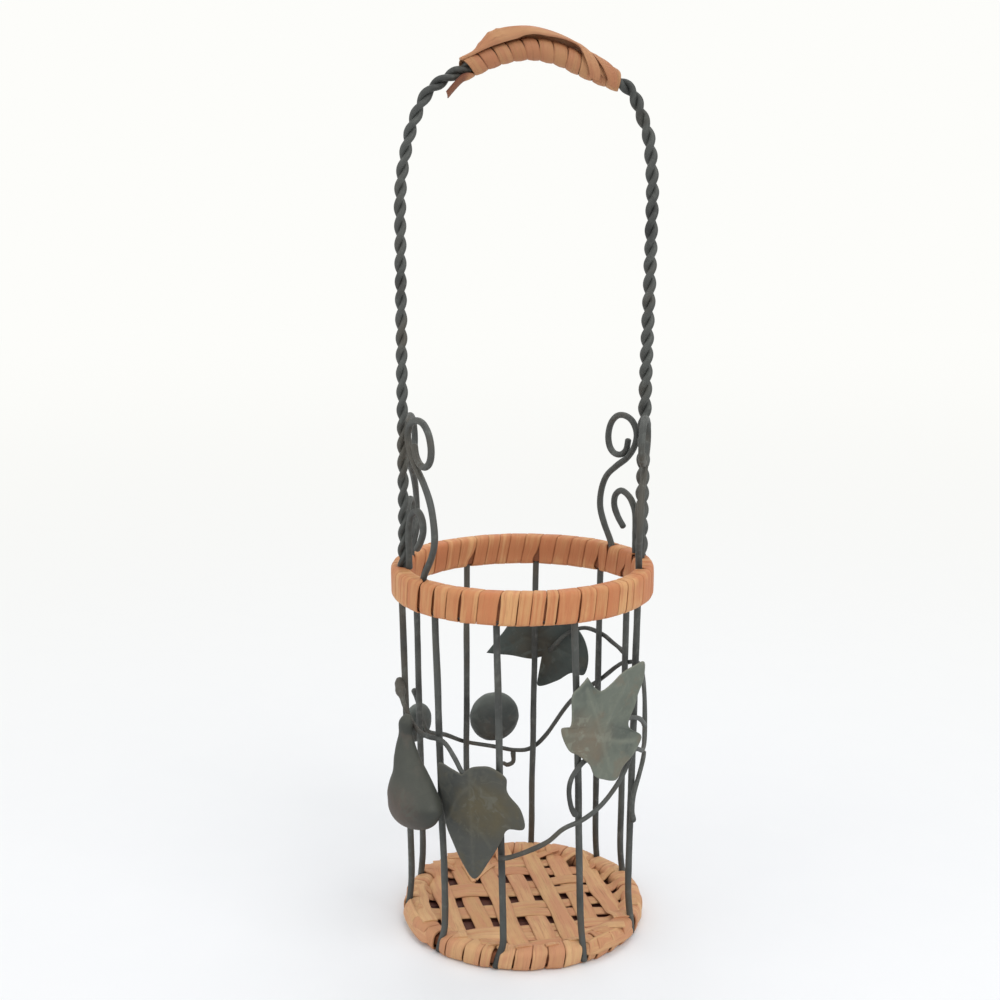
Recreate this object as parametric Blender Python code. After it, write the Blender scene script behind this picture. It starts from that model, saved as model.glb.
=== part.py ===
"""Wine bottle basket: a wire cage bound with cane, with a twisted handle and a fruit vine.

Metres, +Z up, origin on the floor under the middle of the basket. The front is -Y.
Places round the cage are angles in degrees from the front, positive towards +X.
"""

from math import atan2, ceil, cos, degrees, hypot, pi, radians, sin

import bmesh
import bpy
import numpy as np
from mathutils.geometry import delaunay_2d_cdt

# Fits
SEAT = 0.0003
SHARP_ANGLE = 40

# Cage wires
WIRE_DIAMETER = 0.0028
CAGE_RADIUS = 0.0496
UPRIGHT_ANGLES = (-151, -115, -84, -43, -11, 25, 68, 115, 137, 173)
FOOT_SWAYS = {-43: -0.0026, -11: -0.0030}
FOOT_BEND_HEIGHT = 0.0115
WIRE_SIDES = 8

# Rim band
RIM_TOP = 0.15885
RIM_HEIGHT = 0.0131
RIM_HOOP_DIAMETER = 0.0020
RIM_PROUD = 0.0055
RIM_STRIP_THICKNESS = 0.0006
RIM_STRIP_WIDTH = 0.0054
RIM_STRIP_GAP = 0.0010
RIM_CORNER = 0.0009
LEAST_STRIP = 0.0030
UPRIGHT_DROP = 0.0022
HOOP_SEGMENTS = 40
HOOP_SIDES = 6

# Base ring
BASE_HEIGHT = 0.0085
BASE_PROUD = 0.0024
BASE_HOOP_DIAMETER = 0.0030
BASE_STRIP_THICKNESS = 0.0011
BASE_STRIP_WIDTH = 0.0072
BASE_STRIP_GAP = 0.0009
BASE_CORNER = 0.0022
FLAT_CUT = 0.0005

# Base mat
MAT_THICKNESS = 0.0016
MAT_HEIGHT = 0.0042
MAT_SPLINT_WIDTH = 0.0072
MAT_PITCH = 0.0115
MAT_CROSS_WIDTH = 0.0133
MAT_CROSS_PITCH = 0.0195
MAT_SHIFT = 0.0010
MAT_SLANT = 12.5
MAT_RIM = 0.0016
MAT_SEGMENTS = 48

# Handle
HANDLE_ANGLE = 100
HANDLE_SPAN_SHARE = 1.018
HANDLE_RISE = 0.2052
TWIST_PITCH = 0.0146
LEFT_WIRE_DIAMETER = 0.0024
RIGHT_WIRE_DIAMETER = 0.0031
TWIST_STEPS = 6
TWIST_SIDES = 6
HANDLE_ROUTE_SHARES = (
    (-0.998, 0.0), (-0.984, 0.10), (-0.978, 0.27), (-0.972, 0.45), (-0.966, 0.63),
    (-0.958, 0.738), (-0.922, 0.800), (-0.857, 0.862), (-0.742, 0.921), (-0.600, 0.951),
    (-0.440, 0.966), (-0.200, 0.989), (0.060, 1.0), (0.300, 0.990), (0.540, 0.965),
    (0.760, 0.945), (0.889, 0.927), (0.970, 0.888), (1.034, 0.846), (1.062, 0.792),
    (1.074, 0.737), (1.068, 0.640), (1.060, 0.543), (1.048, 0.442), (1.038, 0.320),
    (1.026, 0.120), (1.022, 0.0),
)

# Handle grip
GRIP_LOOPS = 11
GRIP_START_SHARE = -0.445
GRIP_END_SHARE = 0.760
GRIP_STRIP_THICKNESS = 0.0007
GRIP_STRIP_GAP = 0.0013
GRIP_SLACK = 0.0004
GRIP_STEPS = 10
TAIL_LENGTH = 0.0088
TAIL_WIDTH = 0.0030
TAIL_DROOP = 0.0012
TAIL_BEND = 0.0024
TAIL_STEPS = 3
COVER_WIDTH = 0.0084
COVER_DROOP = 0.0018
COVER_SIDES = 5
COVER_THICKNESS = 0.0010
COVER_BOW = 0.0060
COVER_STEPS = 16
COVER_BOW_SHARES = ((0, 0), (0.09, 0.50), (0.18, 0.92), (0.28, 1.0), (0.50, 0.93), (0.70, 0.62), (0.86, 0.30), (1, 0))

# Scrolls: each stands in the plane from the cage to a handle post
WINGS = (("right_back", 1, 1), ("right_front", 1, -1), ("left_front", -1, 1), ("left_back", -1, -1))
SCROLL_ANGLE = 34
SCROLL_HEIGHT = 0.0605
SCROLL_SHARES = (
    (0.267, -0.12), (0.267, 0.0), (0.09, 0.15), (-0.03, 0.265), (0.0, 0.39), (0.13, 0.51), (0.38, 0.61),
    (0.70, 0.70), (0.92, 0.79), (1.0, 0.885), (0.87, 0.965), (0.62, 1.0), (0.35, 0.99),
    (0.14, 0.93), (0.05, 0.84), (0.10, 0.76), (0.27, 0.715), (0.49, 0.715), (0.66, 0.76), (0.72, 0.83),
)
HOOK_HEIGHT = 0.0256
HOOK_SHARES = (
    (1.0, 0.0), (1.0, 0.25), (1.0, 0.50), (0.97, 0.72), (0.84, 0.91), (0.60, 1.0),
    (0.42, 0.90), (0.385, 0.72), (0.49, 0.54), (0.65, 0.39),
)
SCROLL_SIDES = 6
SCROLL_STEPS = 24
HOOK_STEPS = 14

# Vine
VINE_DIAMETER = 0.0020
VINE_SIDES = 6
VINE_STEP = 0.0036

# Leaves
LEAF_THICKNESS = 0.0008
LEAF_CURL_RADIUS = 0.090
LEAF_RIB = 0.0009
FRONT_LEAF_WIDTH = 0.0370
FRONT_LEAF_HEIGHT = 0.0480
FRONT_LEAF_BASE_SHARE = 0.331
FRONT_LEAF_ANGLE = -20
FRONT_LEAF_SHARES = (
    (-0.19, 0.905), (-0.32, 0.945), (-0.48, 0.965), (-0.475, 0.80), (-0.44, 0.63), (-0.38, 0.41),
    (-0.23, 0.17), (-0.06, 0.0), (0.11, 0.17), (0.24, 0.35), (0.32, 0.47), (0.50, 0.495),
    (0.46, 0.65), (0.32, 0.80), (0.30, 0.92), (0.15, 1.0), (0.02, 1.0), (-0.10, 0.97),
)
RIGHT_LEAF_WIDTH = 0.0410
RIGHT_LEAF_HEIGHT = 0.0460
RIGHT_LEAF_BASE_SHARE = 0.650
RIGHT_LEAF_ANGLE = 35
RIGHT_LEAF_SHARES = (
    (-0.22, 0.995), (-0.12, 0.88), (-0.02, 0.85), (0.20, 0.95), (0.45, 0.985), (0.48, 0.85),
    (0.38, 0.66), (0.30, 0.46), (0.50, 0.33), (0.48, 0.25), (0.34, 0.15), (0.23, 0.085), (0.14, 0.0),
    (-0.02, 0.04), (-0.12, 0.09), (-0.19, 0.21), (-0.31, 0.31), (-0.42, 0.38), (-0.49, 0.57),
    (-0.39, 0.59), (-0.385, 0.84), (-0.31, 0.92),
)
BACK_LEAF_WIDTH = 0.0478
BACK_LEAF_HEIGHT = 0.0360
BACK_LEAF_BASE_SHARE = 0.709
BACK_LEAF_ANGLE = 173
BACK_LEAF_SHARES = (
    (0.47, 0.44), (0.31, 0.71), (0.22, 0.86), (0.0, 1.0), (-0.25, 0.98), (-0.45, 0.75), (-0.53, 0.46),
    (-0.49, 0.19), (-0.36, 0.195), (-0.22, 0.07), (-0.025, 0.0), (-0.09, 0.36), (0.035, 0.355),
    (0.25, 0.40),
)

# Fruit
PEAR_HEIGHT = 0.0455
PEAR_HALF_WIDTH = 0.0148
PEAR_HALF_DEPTH = 0.0078
PEAR_TOP_SHARE = 0.828
PEAR_ANGLE = -47
PEAR_LEAN = -0.0160
PEAR_SHARES = (
    (0.30, 0.0), (0.58, 0.02), (0.82, 0.08), (0.96, 0.17), (1.0, 0.27), (0.87, 0.38), (0.69, 0.48),
    (0.53, 0.59), (0.36, 0.71), (0.27, 0.80), (0.25, 0.92), (0.12, 1.0),
)
APPLE_HEIGHT = 0.0215
APPLE_HALF_DEPTH = 0.0048
APPLE_ANGLE = -165.8
APPLE_VINE_SHARE = 0.474
SMALL_APPLE_HEIGHT = 0.0178
SMALL_APPLE_HALF_DEPTH = 0.0044
SMALL_APPLE_MIDDLE_SHARE = 0.623
SMALL_APPLE_ANGLE = -125
ROUND_SHARES = (
    (0.24, 0.0), (0.56, 0.075), (0.86, 0.23), (1.0, 0.49), (0.89, 0.74), (0.58, 0.92), (0.22, 1.0),
)
FRUIT_SIDES = 16

# Vine wires: places as an angle round the cage and a height, which the wire's own clearance carries
VINE_HEIGHT = 0.1208
MAIN_VINE_SHARES = (
    (-114, 0.782), (-119, 0.70), (-125, 0.60), (-138, 0.555), (-151, 0.503), (-168, 0.464), (-177, 0.448),
    (-185, 0.456), (-193, 0.513), (-207, 0.669), (-224, 0.777), (-235, 0.847), (-243, 0.880),
    (-259, 0.905), (-270, 0.82), (-277, 0.70), (-286, 0.665), (-300, 0.70), (-311, 0.63),
    (-323, 0.565), (-333, 0.529), (-343, 0.507), (-351, 0.464), (-366, 0.417), (-371, 0.411),
)
BACK_BRANCH_SHARES = ((-241, 0.915), (-232, 0.935), (-225, 0.955), (-214, 0.965), (-204, 0.93), (-195, 0.86))
SIDE_TAIL_SHARES = ((79, 0.640), (69, 0.600), (61, 0.545), (59, 0.49), (60, 0.448))
FRONT_TWIG_SHARES = (
    (-86, 0.89), (-80, 0.868), (-74, 0.85), (-68, 0.83), (-61, 0.802), (-54, 0.785), (-47, 0.783),
    (-41, 0.787), (-36.5, 0.775), (-32, 0.735), (-28, 0.69), (-22, 0.66),
)
LOOP_TENDRIL_SHARES = ((30, 0.735), (26, 0.727), (21, 0.684), (19.5, 0.637), (20.5, 0.581), (22.5, 0.552))
CURL_TENDRIL_SHARES = ((-176, 0.437), (-176, 0.400), (-173, 0.388), (-171, 0.396))
LEAF_STALK_SHARES = ((78, 0.745), (66, 0.80), (54, 0.83), (44, 0.82), (36, 0.80))


def polar(angle, radius, height):
    """The point at an angle from the front, a radius and a height."""
    turn = radians(angle)
    return np.array((radius * sin(turn), -radius * cos(turn), height))


def finish(name, colour, roughness, metallic=0.0):
    """A plain Principled material."""
    material = bpy.data.materials.new(name)
    material.use_nodes = True
    shader = material.node_tree.nodes["Principled BSDF"]
    shader.inputs["Base Color"].default_value = (*colour, 1.0)
    shader.inputs["Roughness"].default_value = roughness
    shader.inputs["Metallic"].default_value = metallic
    return material


def place(name, vertices, faces, material, smooth=True):
    """A named object from vertices and faces."""
    mesh = bpy.data.meshes.new(name)
    mesh.from_pydata([tuple(v) for v in vertices], [], [tuple(f) for f in faces])
    mesh.validate()
    return link(name, mesh, material, smooth)


def link(name, mesh, material, smooth=True):
    """A named object from a closed mesh, its faces turned outwards."""
    work = bmesh.new()
    work.from_mesh(mesh)
    bmesh.ops.recalc_face_normals(work, faces=work.faces)
    work.to_mesh(mesh)
    work.free()
    mesh.materials.append(material)
    if smooth:
        mesh.shade_smooth()
        mesh.set_sharp_from_angle(angle=radians(SHARP_ANGLE))
    piece = bpy.data.objects.new(name, mesh)
    bpy.context.scene.collection.objects.link(piece)
    return piece


def skin(rings, closed=False):
    """Quads between rings of points, with fans over the two ends unless the rings close up."""
    rings = np.asarray(rings)
    count, sides = rings.shape[:2]
    vertices = rings.reshape(-1, 3)
    faces = []
    for i in range(count if closed else count - 1):
        a, b = i * sides, ((i + 1) % count) * sides
        for j in range(sides):
            k = (j + 1) % sides
            faces.append((a + j, a + k, b + k, b + j))
    if not closed:
        last = (count - 1) * sides
        faces.append(tuple(range(sides - 1, -1, -1)))
        faces.append(tuple(range(last, last + sides)))
    return vertices, faces


def smooth_route(points, step):
    """Points about a step apart on the Catmull-Rom curve through some chosen points."""
    points = np.asarray(points, float)
    ends = np.vstack((2 * points[0] - points[1], points, 2 * points[-1] - points[-2]))
    fine = []
    for a, b, c, d in zip(ends, ends[1:], ends[2:], ends[3:]):
        for t in np.linspace(0, 1, 12, endpoint=False):
            fine.append(0.5 * (2 * b + (c - a) * t + (2 * a - 5 * b + 4 * c - d) * t**2
                               + (3 * b - a - 3 * c + d) * t**3))
    fine.append(points[-1])
    fine = np.array(fine)
    run = np.concatenate(([0], np.cumsum(np.linalg.norm(np.diff(fine, axis=0), axis=1))))
    marks = np.linspace(0, run[-1], max(2, ceil(run[-1] / step)) + 1)
    return np.stack([np.interp(marks, run, fine[:, k]) for k in range(fine.shape[1])], axis=-1)


def directions(route):
    """Unit tangents along a route."""
    slopes = np.gradient(route, axis=0)
    return slopes / np.linalg.norm(slopes, axis=1, keepdims=True)


def wire(name, route, diameter, sides, material, floor=0.0):
    """A round wire along a route, with one diameter or one for each point, cut flat at a floor."""
    route = np.asarray(route, float)
    radius = np.broadcast_to(np.asarray(diameter, float) / 2, len(route))
    along = directions(route)
    across = np.cross(along[0], (0.0, 0.0, 1.0))
    if np.linalg.norm(across) < 0.5:
        across = np.cross(along[0], (1.0, 0.0, 0.0))
    rings = []
    turns = np.arange(sides) * 2 * pi / sides
    for point, tangent, size in zip(route, along, radius):
        across = across - tangent * (across @ tangent)
        across = across / np.linalg.norm(across)
        other = np.cross(tangent, across)
        ring = point + size * (np.outer(np.cos(turns), across) + np.outer(np.sin(turns), other))
        ring[:, 2] = np.maximum(ring[:, 2], floor)
        rings.append(ring)
    return place(name, *skin(rings), material)


def hoop(name, radius, height, diameter, material):
    """A closed wire ring round the cage's axis."""
    rings = []
    for turn in np.arange(HOOP_SEGMENTS) * 360 / HOOP_SEGMENTS:
        ring = []
        for side in np.arange(HOOP_SIDES) * 2 * pi / HOOP_SIDES:
            ring.append(polar(turn, radius + diameter / 2 * cos(side), height + diameter / 2 * sin(side)))
        rings.append(ring)
    return place(name, *skin(rings, closed=True), material)


def band_section(inner, outer, low, high, corner):
    """The eight points of a cut-cornered section, up its outer side first."""
    return np.array((
        (outer, low + corner), (outer, high - corner), (outer - corner, high), (inner + corner, high),
        (inner, high - corner), (inner, low + corner), (inner + corner, low), (outer - corner, low),
    ))


def section_normals(section):
    """Mitred outward normals at a section's corners, for a wall of even thickness."""
    following = np.roll(section, -1, axis=0) - section
    following = following / np.linalg.norm(following, axis=1, keepdims=True)
    outward = np.stack((following[:, 1], -following[:, 0]), axis=-1)
    both = outward + np.roll(outward, 1, axis=0)
    return both / (1 + (outward * np.roll(outward, 1, axis=0)).sum(axis=1, keepdims=True))


def least_gap(rings, steps):
    """How near a winding comes to itself: each loop's near edge to the far edge of the loop before."""
    rings = np.asarray(rings)
    index = np.arange(steps + 1, len(rings))
    least = []
    for near, far in ((0, 3), (1, 2)):
        point = rings[index, near]
        for shift in (-1, 0):
            start = rings[index - steps + shift, far]
            run = rings[index - steps + shift + 1, far] - start
            share = np.clip(((point - start) * run).sum(axis=1) / (run * run).sum(axis=1), 0, 1)
            least.append(np.linalg.norm(point - start - share[:, None] * run, axis=1).min())
    return min(least)


def ring_winding(name, stations, spreads, section, thickness, shares, material):
    """Cane wound round a ring: one flat unbroken strip with a loop at each station but the last.

    A station is a loop's angle and a spread its half width, in degrees. The shares say how much
    of the step to the next station each side of the section takes. Nothing lies below the floor.
    """
    normals = section_normals(section)
    done = np.concatenate(([0], np.cumsum(shares)))
    rings = []
    for k in range(len(stations) - 1):
        for j, share in enumerate(done[:-1]):
            angle = stations[k] + (stations[k + 1] - stations[k]) * share
            span = spreads[k] + (spreads[k + 1] - spreads[k]) * share
            walls = [section[j] + side * normals[j] * thickness / 2 for side in (-1, 1)]
            rings.append([polar(angle + side * span, walls[wall][0], max(walls[wall][1], 0))
                          for side, wall in ((-1, 0), (-1, 1), (1, 1), (1, 0))])
    gap = least_gap(rings, len(section)) * 1000
    print(f"{name}: {len(stations) - 1} loops, least gap to itself {gap:.2f} mm")
    return place(name, *skin(rings), material)


def handle_half_span():
    """Half the way between the handle's two feet, which stand over the cage's uprights."""
    return HANDLE_SPAN_SHARE * CAGE_RADIUS


def handle_frame():
    """The handle plane's sideways direction and the normal that faces the front."""
    turn = radians(HANDLE_ANGLE - 90)
    sideways = np.array((cos(turn), sin(turn), 0.0))
    return sideways, np.array((sin(turn), -cos(turn), 0.0))


def handle_foot():
    """The height at which the handle's wires stand on the upper rim hoop."""
    return RIM_TOP - RIM_STRIP_THICKNESS


def handle_route(step):
    """The middle of the twisted handle, from its left foot to its right one."""
    sideways, _ = handle_frame()
    points = [sideways * (u * handle_half_span()) + np.array((0, 0, handle_foot() + v * HANDLE_RISE))
              for u, v in HANDLE_ROUTE_SHARES]
    return smooth_route(points, step)


def twist_radius(diameter):
    """How far a strand's middle lies from the handle's, so that the two faceted strands clear."""
    return (diameter / 2 + SEAT / 2) / cos(pi / TWIST_STEPS)


def handle_strand(name, phase, material):
    """One of the two wires of the handle, twisted right-handed about the handle's middle."""
    route = handle_route(TWIST_PITCH / TWIST_STEPS)
    along = directions(route)
    _, front = handle_frame()
    share = np.linspace(0, 1, len(route))
    diameter = LEFT_WIRE_DIAMETER + (RIGHT_WIRE_DIAMETER - LEFT_WIRE_DIAMETER) * share
    turn = 2 * pi * np.arange(len(route)) / TWIST_STEPS + phase
    reach = twist_radius(diameter)[:, None]
    side = np.cross(np.broadcast_to(front, along.shape), along)
    strand = route + reach * (np.cos(turn)[:, None] * side + np.sin(turn)[:, None] * front)
    return wire(name, strand, diameter, TWIST_SIDES, material, handle_foot())


def grip_stretch(steps):
    """The part of the handle's middle that the cane grip covers."""
    sideways, _ = handle_frame()
    route = handle_route(GRIP_STRIP_THICKNESS)
    shares = route @ sideways / handle_half_span()
    inside = route[(shares >= GRIP_START_SHARE) & (shares <= GRIP_END_SHARE)]
    marks = np.linspace(0, len(inside) - 1, steps + 1)
    return np.stack([np.interp(marks, np.arange(len(inside)), inside[:, k]) for k in range(3)], axis=-1)


def grip_radius():
    """The winding's middle radius about the handle: clear of both strands at their thickest there."""
    diameter = LEFT_WIRE_DIAMETER + (RIGHT_WIRE_DIAMETER - LEFT_WIRE_DIAMETER) * 0.6
    return twist_radius(diameter) + diameter / 2 + GRIP_SLACK + GRIP_STRIP_THICKNESS / 2


def grip_winding(material):
    """The cane grip: a loose tail, then one unbroken strip wound along the top of the handle.

    The strip's middle line is laid out on the round of the grip as a run along the handle and a
    way round it, both as lengths: the tail straight, a quarter bend, then the loops.
    """
    stretch = grip_stretch(GRIP_LOOPS * GRIP_STEPS)
    reach = grip_radius()
    pitch = np.linalg.norm(np.diff(stretch, axis=0), axis=1).sum() / GRIP_LOOPS
    steps = np.arange(len(stretch))
    bend = np.radians(np.arange(TAIL_STEPS) * 90 / TAIL_STEPS)
    tail = np.linspace(TAIL_LENGTH, TAIL_LENGTH / TAIL_STEPS, TAIL_STEPS)
    run = np.concatenate((-TAIL_BEND - tail, TAIL_BEND * (np.sin(bend) - 1), steps * pitch / GRIP_STEPS))
    way = np.concatenate((np.full(TAIL_STEPS, -TAIL_BEND), -TAIL_BEND * np.cos(bend),
                          steps * 2 * pi * reach / GRIP_STEPS))
    lift = np.concatenate((tail / TAIL_LENGTH * TAIL_DROOP, np.zeros(TAIL_STEPS + len(steps))))

    start = (stretch[1] - stretch[0]) * GRIP_STEPS / pitch
    before = np.minimum(run, 0)[:, None] * start
    marks = np.clip(run / pitch * GRIP_STEPS, 0, len(stretch) - 1)
    middle = np.stack([np.interp(marks, steps, stretch[:, k]) for k in range(3)], axis=-1) + before
    along = directions(middle)
    _, front = handle_frame()
    up = np.cross(front, along)
    up = up / np.linalg.norm(up, axis=1, keepdims=True)
    turn = (pi + way / reach)[:, None]
    out = np.cos(turn) * up + np.sin(turn) * front
    centre = middle + (reach + lift)[:, None] * out
    travel = directions(centre)
    side = np.cross(out, travel)
    side = side / np.linalg.norm(side, axis=1, keepdims=True)
    out = np.cross(travel, side)
    half = np.interp(way, (-TAIL_BEND, 0), (TAIL_WIDTH / 2, (pitch - GRIP_STRIP_GAP) / 2))[:, None]
    rings = np.stack([centre + a * half * side + b * GRIP_STRIP_THICKNESS / 2 * out
                      for a, b in ((-1, -1), (-1, 1), (1, 1), (1, -1))], axis=1)
    if (side[-1] @ along[-1]) < 0:
        rings = rings[:, ::-1]
    gap = least_gap(rings[2 * TAIL_STEPS:], GRIP_STEPS) * 1000
    print(f"grip_winding: {GRIP_LOOPS} loops, least gap to itself {gap:.2f} mm")
    return place("grip_winding", *skin(rings), material)


def arched_strip(name, route, across, outward, width, thickness, droop, material):
    """A strip along a route, with its width across, its middle standing over its two sides."""
    shares = np.linspace(-1, 1, COVER_SIDES)
    section = [(a, -1) for a in shares] + [(a, 1) for a in shares[::-1]]
    rings = []
    for point, side, out in zip(route, across, outward):
        rings.append([point + a * width / 2 * side + (b * thickness / 2 - a * a * droop) * out
                      for a, b in section])
    return place(name, *skin(rings), material)


def grip_cover(material):
    """The broad arched strip that lies along the grip and bows up over its middle."""
    route = grip_stretch(COVER_STEPS)
    along = directions(route)
    _, front = handle_frame()
    outward = np.cross(front, along)
    outward = outward / np.linalg.norm(outward, axis=1, keepdims=True)
    clear = grip_radius() + GRIP_STRIP_THICKNESS / 2 + SEAT + COVER_THICKNESS / 2
    shape = smooth_route(COVER_BOW_SHARES, 1 / COVER_STEPS)
    rise = clear + COVER_BOW * np.interp(np.linspace(0, 1, len(route)), shape[:, 0], shape[:, 1])
    raised = route + outward * rise[:, None]
    across = np.broadcast_to(front, along.shape)
    return arched_strip("grip_cover", raised, across, outward, COVER_WIDTH, COVER_THICKNESS, COVER_DROOP, material)


def wing(side, turn):
    """The foot line, direction and reach of a scroll's plane, from the cage to a handle post."""
    post_angle = HANDLE_ANGLE if side > 0 else HANDLE_ANGLE - 180
    share = HANDLE_ROUTE_SHARES[-3][0] if side > 0 else -HANDLE_ROUTE_SHARES[2][0]
    diameter = RIGHT_WIRE_DIAMETER if side > 0 else LEFT_WIRE_DIAMETER
    post = polar(post_angle, handle_half_span() * share, 0)
    start = polar(post_angle + turn * SCROLL_ANGLE, CAGE_RADIUS, 0)
    run = post - start
    length = np.linalg.norm(run)
    post_radius = twist_radius(diameter) + diameter / 2
    return start, run / length, length - post_radius - SEAT - WIRE_DIAMETER / 2


def scroll(name, side, turn, shares, height, steps, floor, material):
    """A bent wire in the plane between the cage and a handle post, its foot over the uprights."""
    start, towards, reach = wing(side, turn)
    points = [start + towards * (u * reach) + np.array((0, 0, RIM_TOP + v * height)) for u, v in shares]
    for point in points:
        if point[2] <= RIM_TOP:
            point[:2] = point[:2] * CAGE_RADIUS / hypot(point[0], point[1])
    length = np.linalg.norm(np.diff(points, axis=0), axis=1).sum()
    return wire(name, smooth_route(points, length / steps), WIRE_DIAMETER, SCROLL_SIDES, material, floor)


def vine_radius():
    """The vine's middle radius: its wires lie against the outside of the uprights."""
    return CAGE_RADIUS + WIRE_DIAMETER / 2 + SEAT + VINE_DIAMETER / 2


def vine(name, shares, material):
    """A vine wire laid against the outside of the cage."""
    points = np.array([(angle, share * VINE_HEIGHT) for angle, share in shares])
    flat = np.stack((np.radians(points[:, 0]) * vine_radius(), points[:, 1]), axis=-1)
    route = smooth_route(flat, VINE_STEP)
    placed = [polar(degrees(s / vine_radius()), vine_radius(), z) for s, z in route]
    return wire(name, placed, VINE_DIAMETER, VINE_SIDES, material)


def leaf(name, shares, width, height, base_share, angle, material):
    """A pressed leaf: its outline filled by rings round its middle, curled and ribbed."""
    outline = np.array(shares) * (width, height)
    middle = outline.mean(axis=0)
    count = len(outline)
    radius = vine_radius() + VINE_DIAMETER / 2 + SEAT + LEAF_THICKNESS / 2
    origin = polar(angle, radius, base_share * VINE_HEIGHT)
    across = np.array((cos(radians(angle)), sin(radians(angle)), 0.0))
    outward = np.array((sin(radians(angle)), -cos(radians(angle)), 0.0))
    flat = [middle] + [middle + (point - middle) * ring for ring in (0.5, 1.0) for point in outline]

    def layer(offset):
        points = []
        for index, (s, z) in enumerate(flat):
            rib = LEAF_RIB if index == 0 else 0.0
            depth = rib + offset - s * s / (2 * LEAF_CURL_RADIUS)
            points.append(origin + across * s + np.array((0, 0, z)) + outward * depth)
        return points

    vertices = layer(LEAF_THICKNESS / 2) + layer(-LEAF_THICKNESS / 2)
    back = len(flat)
    faces = []
    for i in range(count):
        j = (i + 1) % count
        a, b, c, d = 1 + i, 1 + j, 1 + count + i, 1 + count + j
        faces += [(0, a, b), (a, c, d, b), (back, back + b, back + a), (back + a, back + b, back + d, back + c)]
        faces.append((c, back + c, back + d, d))
    return place(name, vertices, faces, material)


def fruit(name, shares, height, half_width, half_depth, base, angle, lean, back, material):
    """A pressed fruit, round in outline, its flat back kept at a radius from the cage's axis as it leans."""
    across = np.array((cos(radians(angle)), sin(radians(angle)), 0.0))
    outward = np.array((sin(radians(angle)), -cos(radians(angle)), 0.0))
    rings = []
    for size, level in shares:
        bend = (lean * level) ** 2 / (2 * back)
        middle = outward * (back + half_depth * size - bend) + across * (lean * level)
        middle[2] = base + height * level
        rings.append([middle + across * (half_width * size * cos(t)) + outward * (half_depth * size * sin(t))
                      for t in np.arange(FRUIT_SIDES) * 2 * pi / FRUIT_SIDES])
    return place(name, *skin(rings), material)


def foot_angle(angle):
    """An upright's angle at its foot, where a few of them are bent aside."""
    return angle + degrees(FOOT_SWAYS.get(angle, 0) / CAGE_RADIUS)


def blocked_arcs(marks):
    """Where wires pass through a ring's cane. A mark is a wire's angle and half width.

    Arcs that leave no room for a strip between them are joined.
    """
    arcs = []
    for angle, half in sorted(marks):
        reach = degrees((half + SEAT) / CAGE_RADIUS)
        if arcs and radians(angle - reach - arcs[-1][1]) * CAGE_RADIUS < LEAST_STRIP:
            arcs[-1][1] = max(arcs[-1][1], angle + reach)
        else:
            arcs.append([angle - reach, angle + reach])
    return arcs


def strip_stations(marks, width, gap):
    """The loops of a ring's cane, parted round the wires: each one's angle and half width."""
    arcs = blocked_arcs(marks)
    arcs.append([arcs[0][0] + 360, arcs[0][1] + 360])
    stations, spreads = [], []
    for (_, start), (end, _) in zip(arcs, arcs[1:]):
        room = radians(end - start) * CAGE_RADIUS
        count = max(1, round(room / (width + gap)))
        each = (room - (count - 1) * gap) / count
        stations += [start + degrees((each / 2 + i * (each + gap)) / CAGE_RADIUS) for i in range(count)]
        spreads += [degrees(each / 2 / CAGE_RADIUS)] * count
    return stations + [stations[0] + 360], spreads + [spreads[0]]


def half_winding(name, half, loops, section, thickness, shares, material):
    """The first or the second half of the loops round a ring, as one unbroken strip."""
    stations, spreads = loops
    middle = len(stations) // 2
    part = slice(0, middle + 1) if half == 0 else slice(middle, None)
    return ring_winding(name, stations[part], spreads[part], section, thickness, shares, material)


def base_winding(name, half, material):
    """Half of the cane bound round the base ring, parted at each upright's foot."""
    marks = [(angle, WIRE_DIAMETER / 2) for angle in UPRIGHT_ANGLES]
    marks += [(foot_angle(angle), WIRE_DIAMETER / 2) for angle in FOOT_SWAYS]
    loops = strip_stations(marks, BASE_STRIP_WIDTH, BASE_STRIP_GAP)
    inner = base_inner_radius() + BASE_STRIP_THICKNESS / 2
    outer = CAGE_RADIUS + BASE_PROUD - BASE_STRIP_THICKNESS / 2
    low = BASE_STRIP_THICKNESS / 2 - FLAT_CUT
    high = BASE_HEIGHT - BASE_STRIP_THICKNESS / 2
    section = band_section(inner, outer, low, high, BASE_CORNER)
    shares = (0, 0, 0, 1 / 3, 1 / 3, 1 / 3, 0, 0)
    return half_winding(name, half, loops, section, BASE_STRIP_THICKNESS, shares, material)


def base_hoop_radius():
    """The base hoop runs inside the uprights."""
    return CAGE_RADIUS - WIRE_DIAMETER / 2 - SEAT - BASE_HOOP_DIAMETER / 2


def base_inner_radius():
    """The inner face of the base ring's cane."""
    return base_hoop_radius() - BASE_HOOP_DIAMETER / 2 - SEAT - BASE_STRIP_THICKNESS


def rim_hoop_radius():
    """The rim hoops run inside the outer face of the cane band."""
    return CAGE_RADIUS + RIM_PROUD - RIM_STRIP_THICKNESS - SEAT - RIM_HOOP_DIAMETER / 2


def rim_marks():
    """Every wire that passes through the rim's cane: the uprights, the handle posts and the scrolls' feet."""
    marks = [(angle, WIRE_DIAMETER / 2) for angle in UPRIGHT_ANGLES]
    for angle, diameter in ((HANDLE_ANGLE, RIGHT_WIRE_DIAMETER), (HANDLE_ANGLE - 180, LEFT_WIRE_DIAMETER)):
        marks.append((angle, twist_radius(diameter) + diameter / 2))
    for _, side, turn in WINGS:
        start, towards, reach = wing(side, turn)
        foot = start + towards * SCROLL_SHARES[0][0] * reach
        marks.append((degrees(atan2(foot[0], -foot[1])), WIRE_DIAMETER / 2))
    return marks


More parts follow.
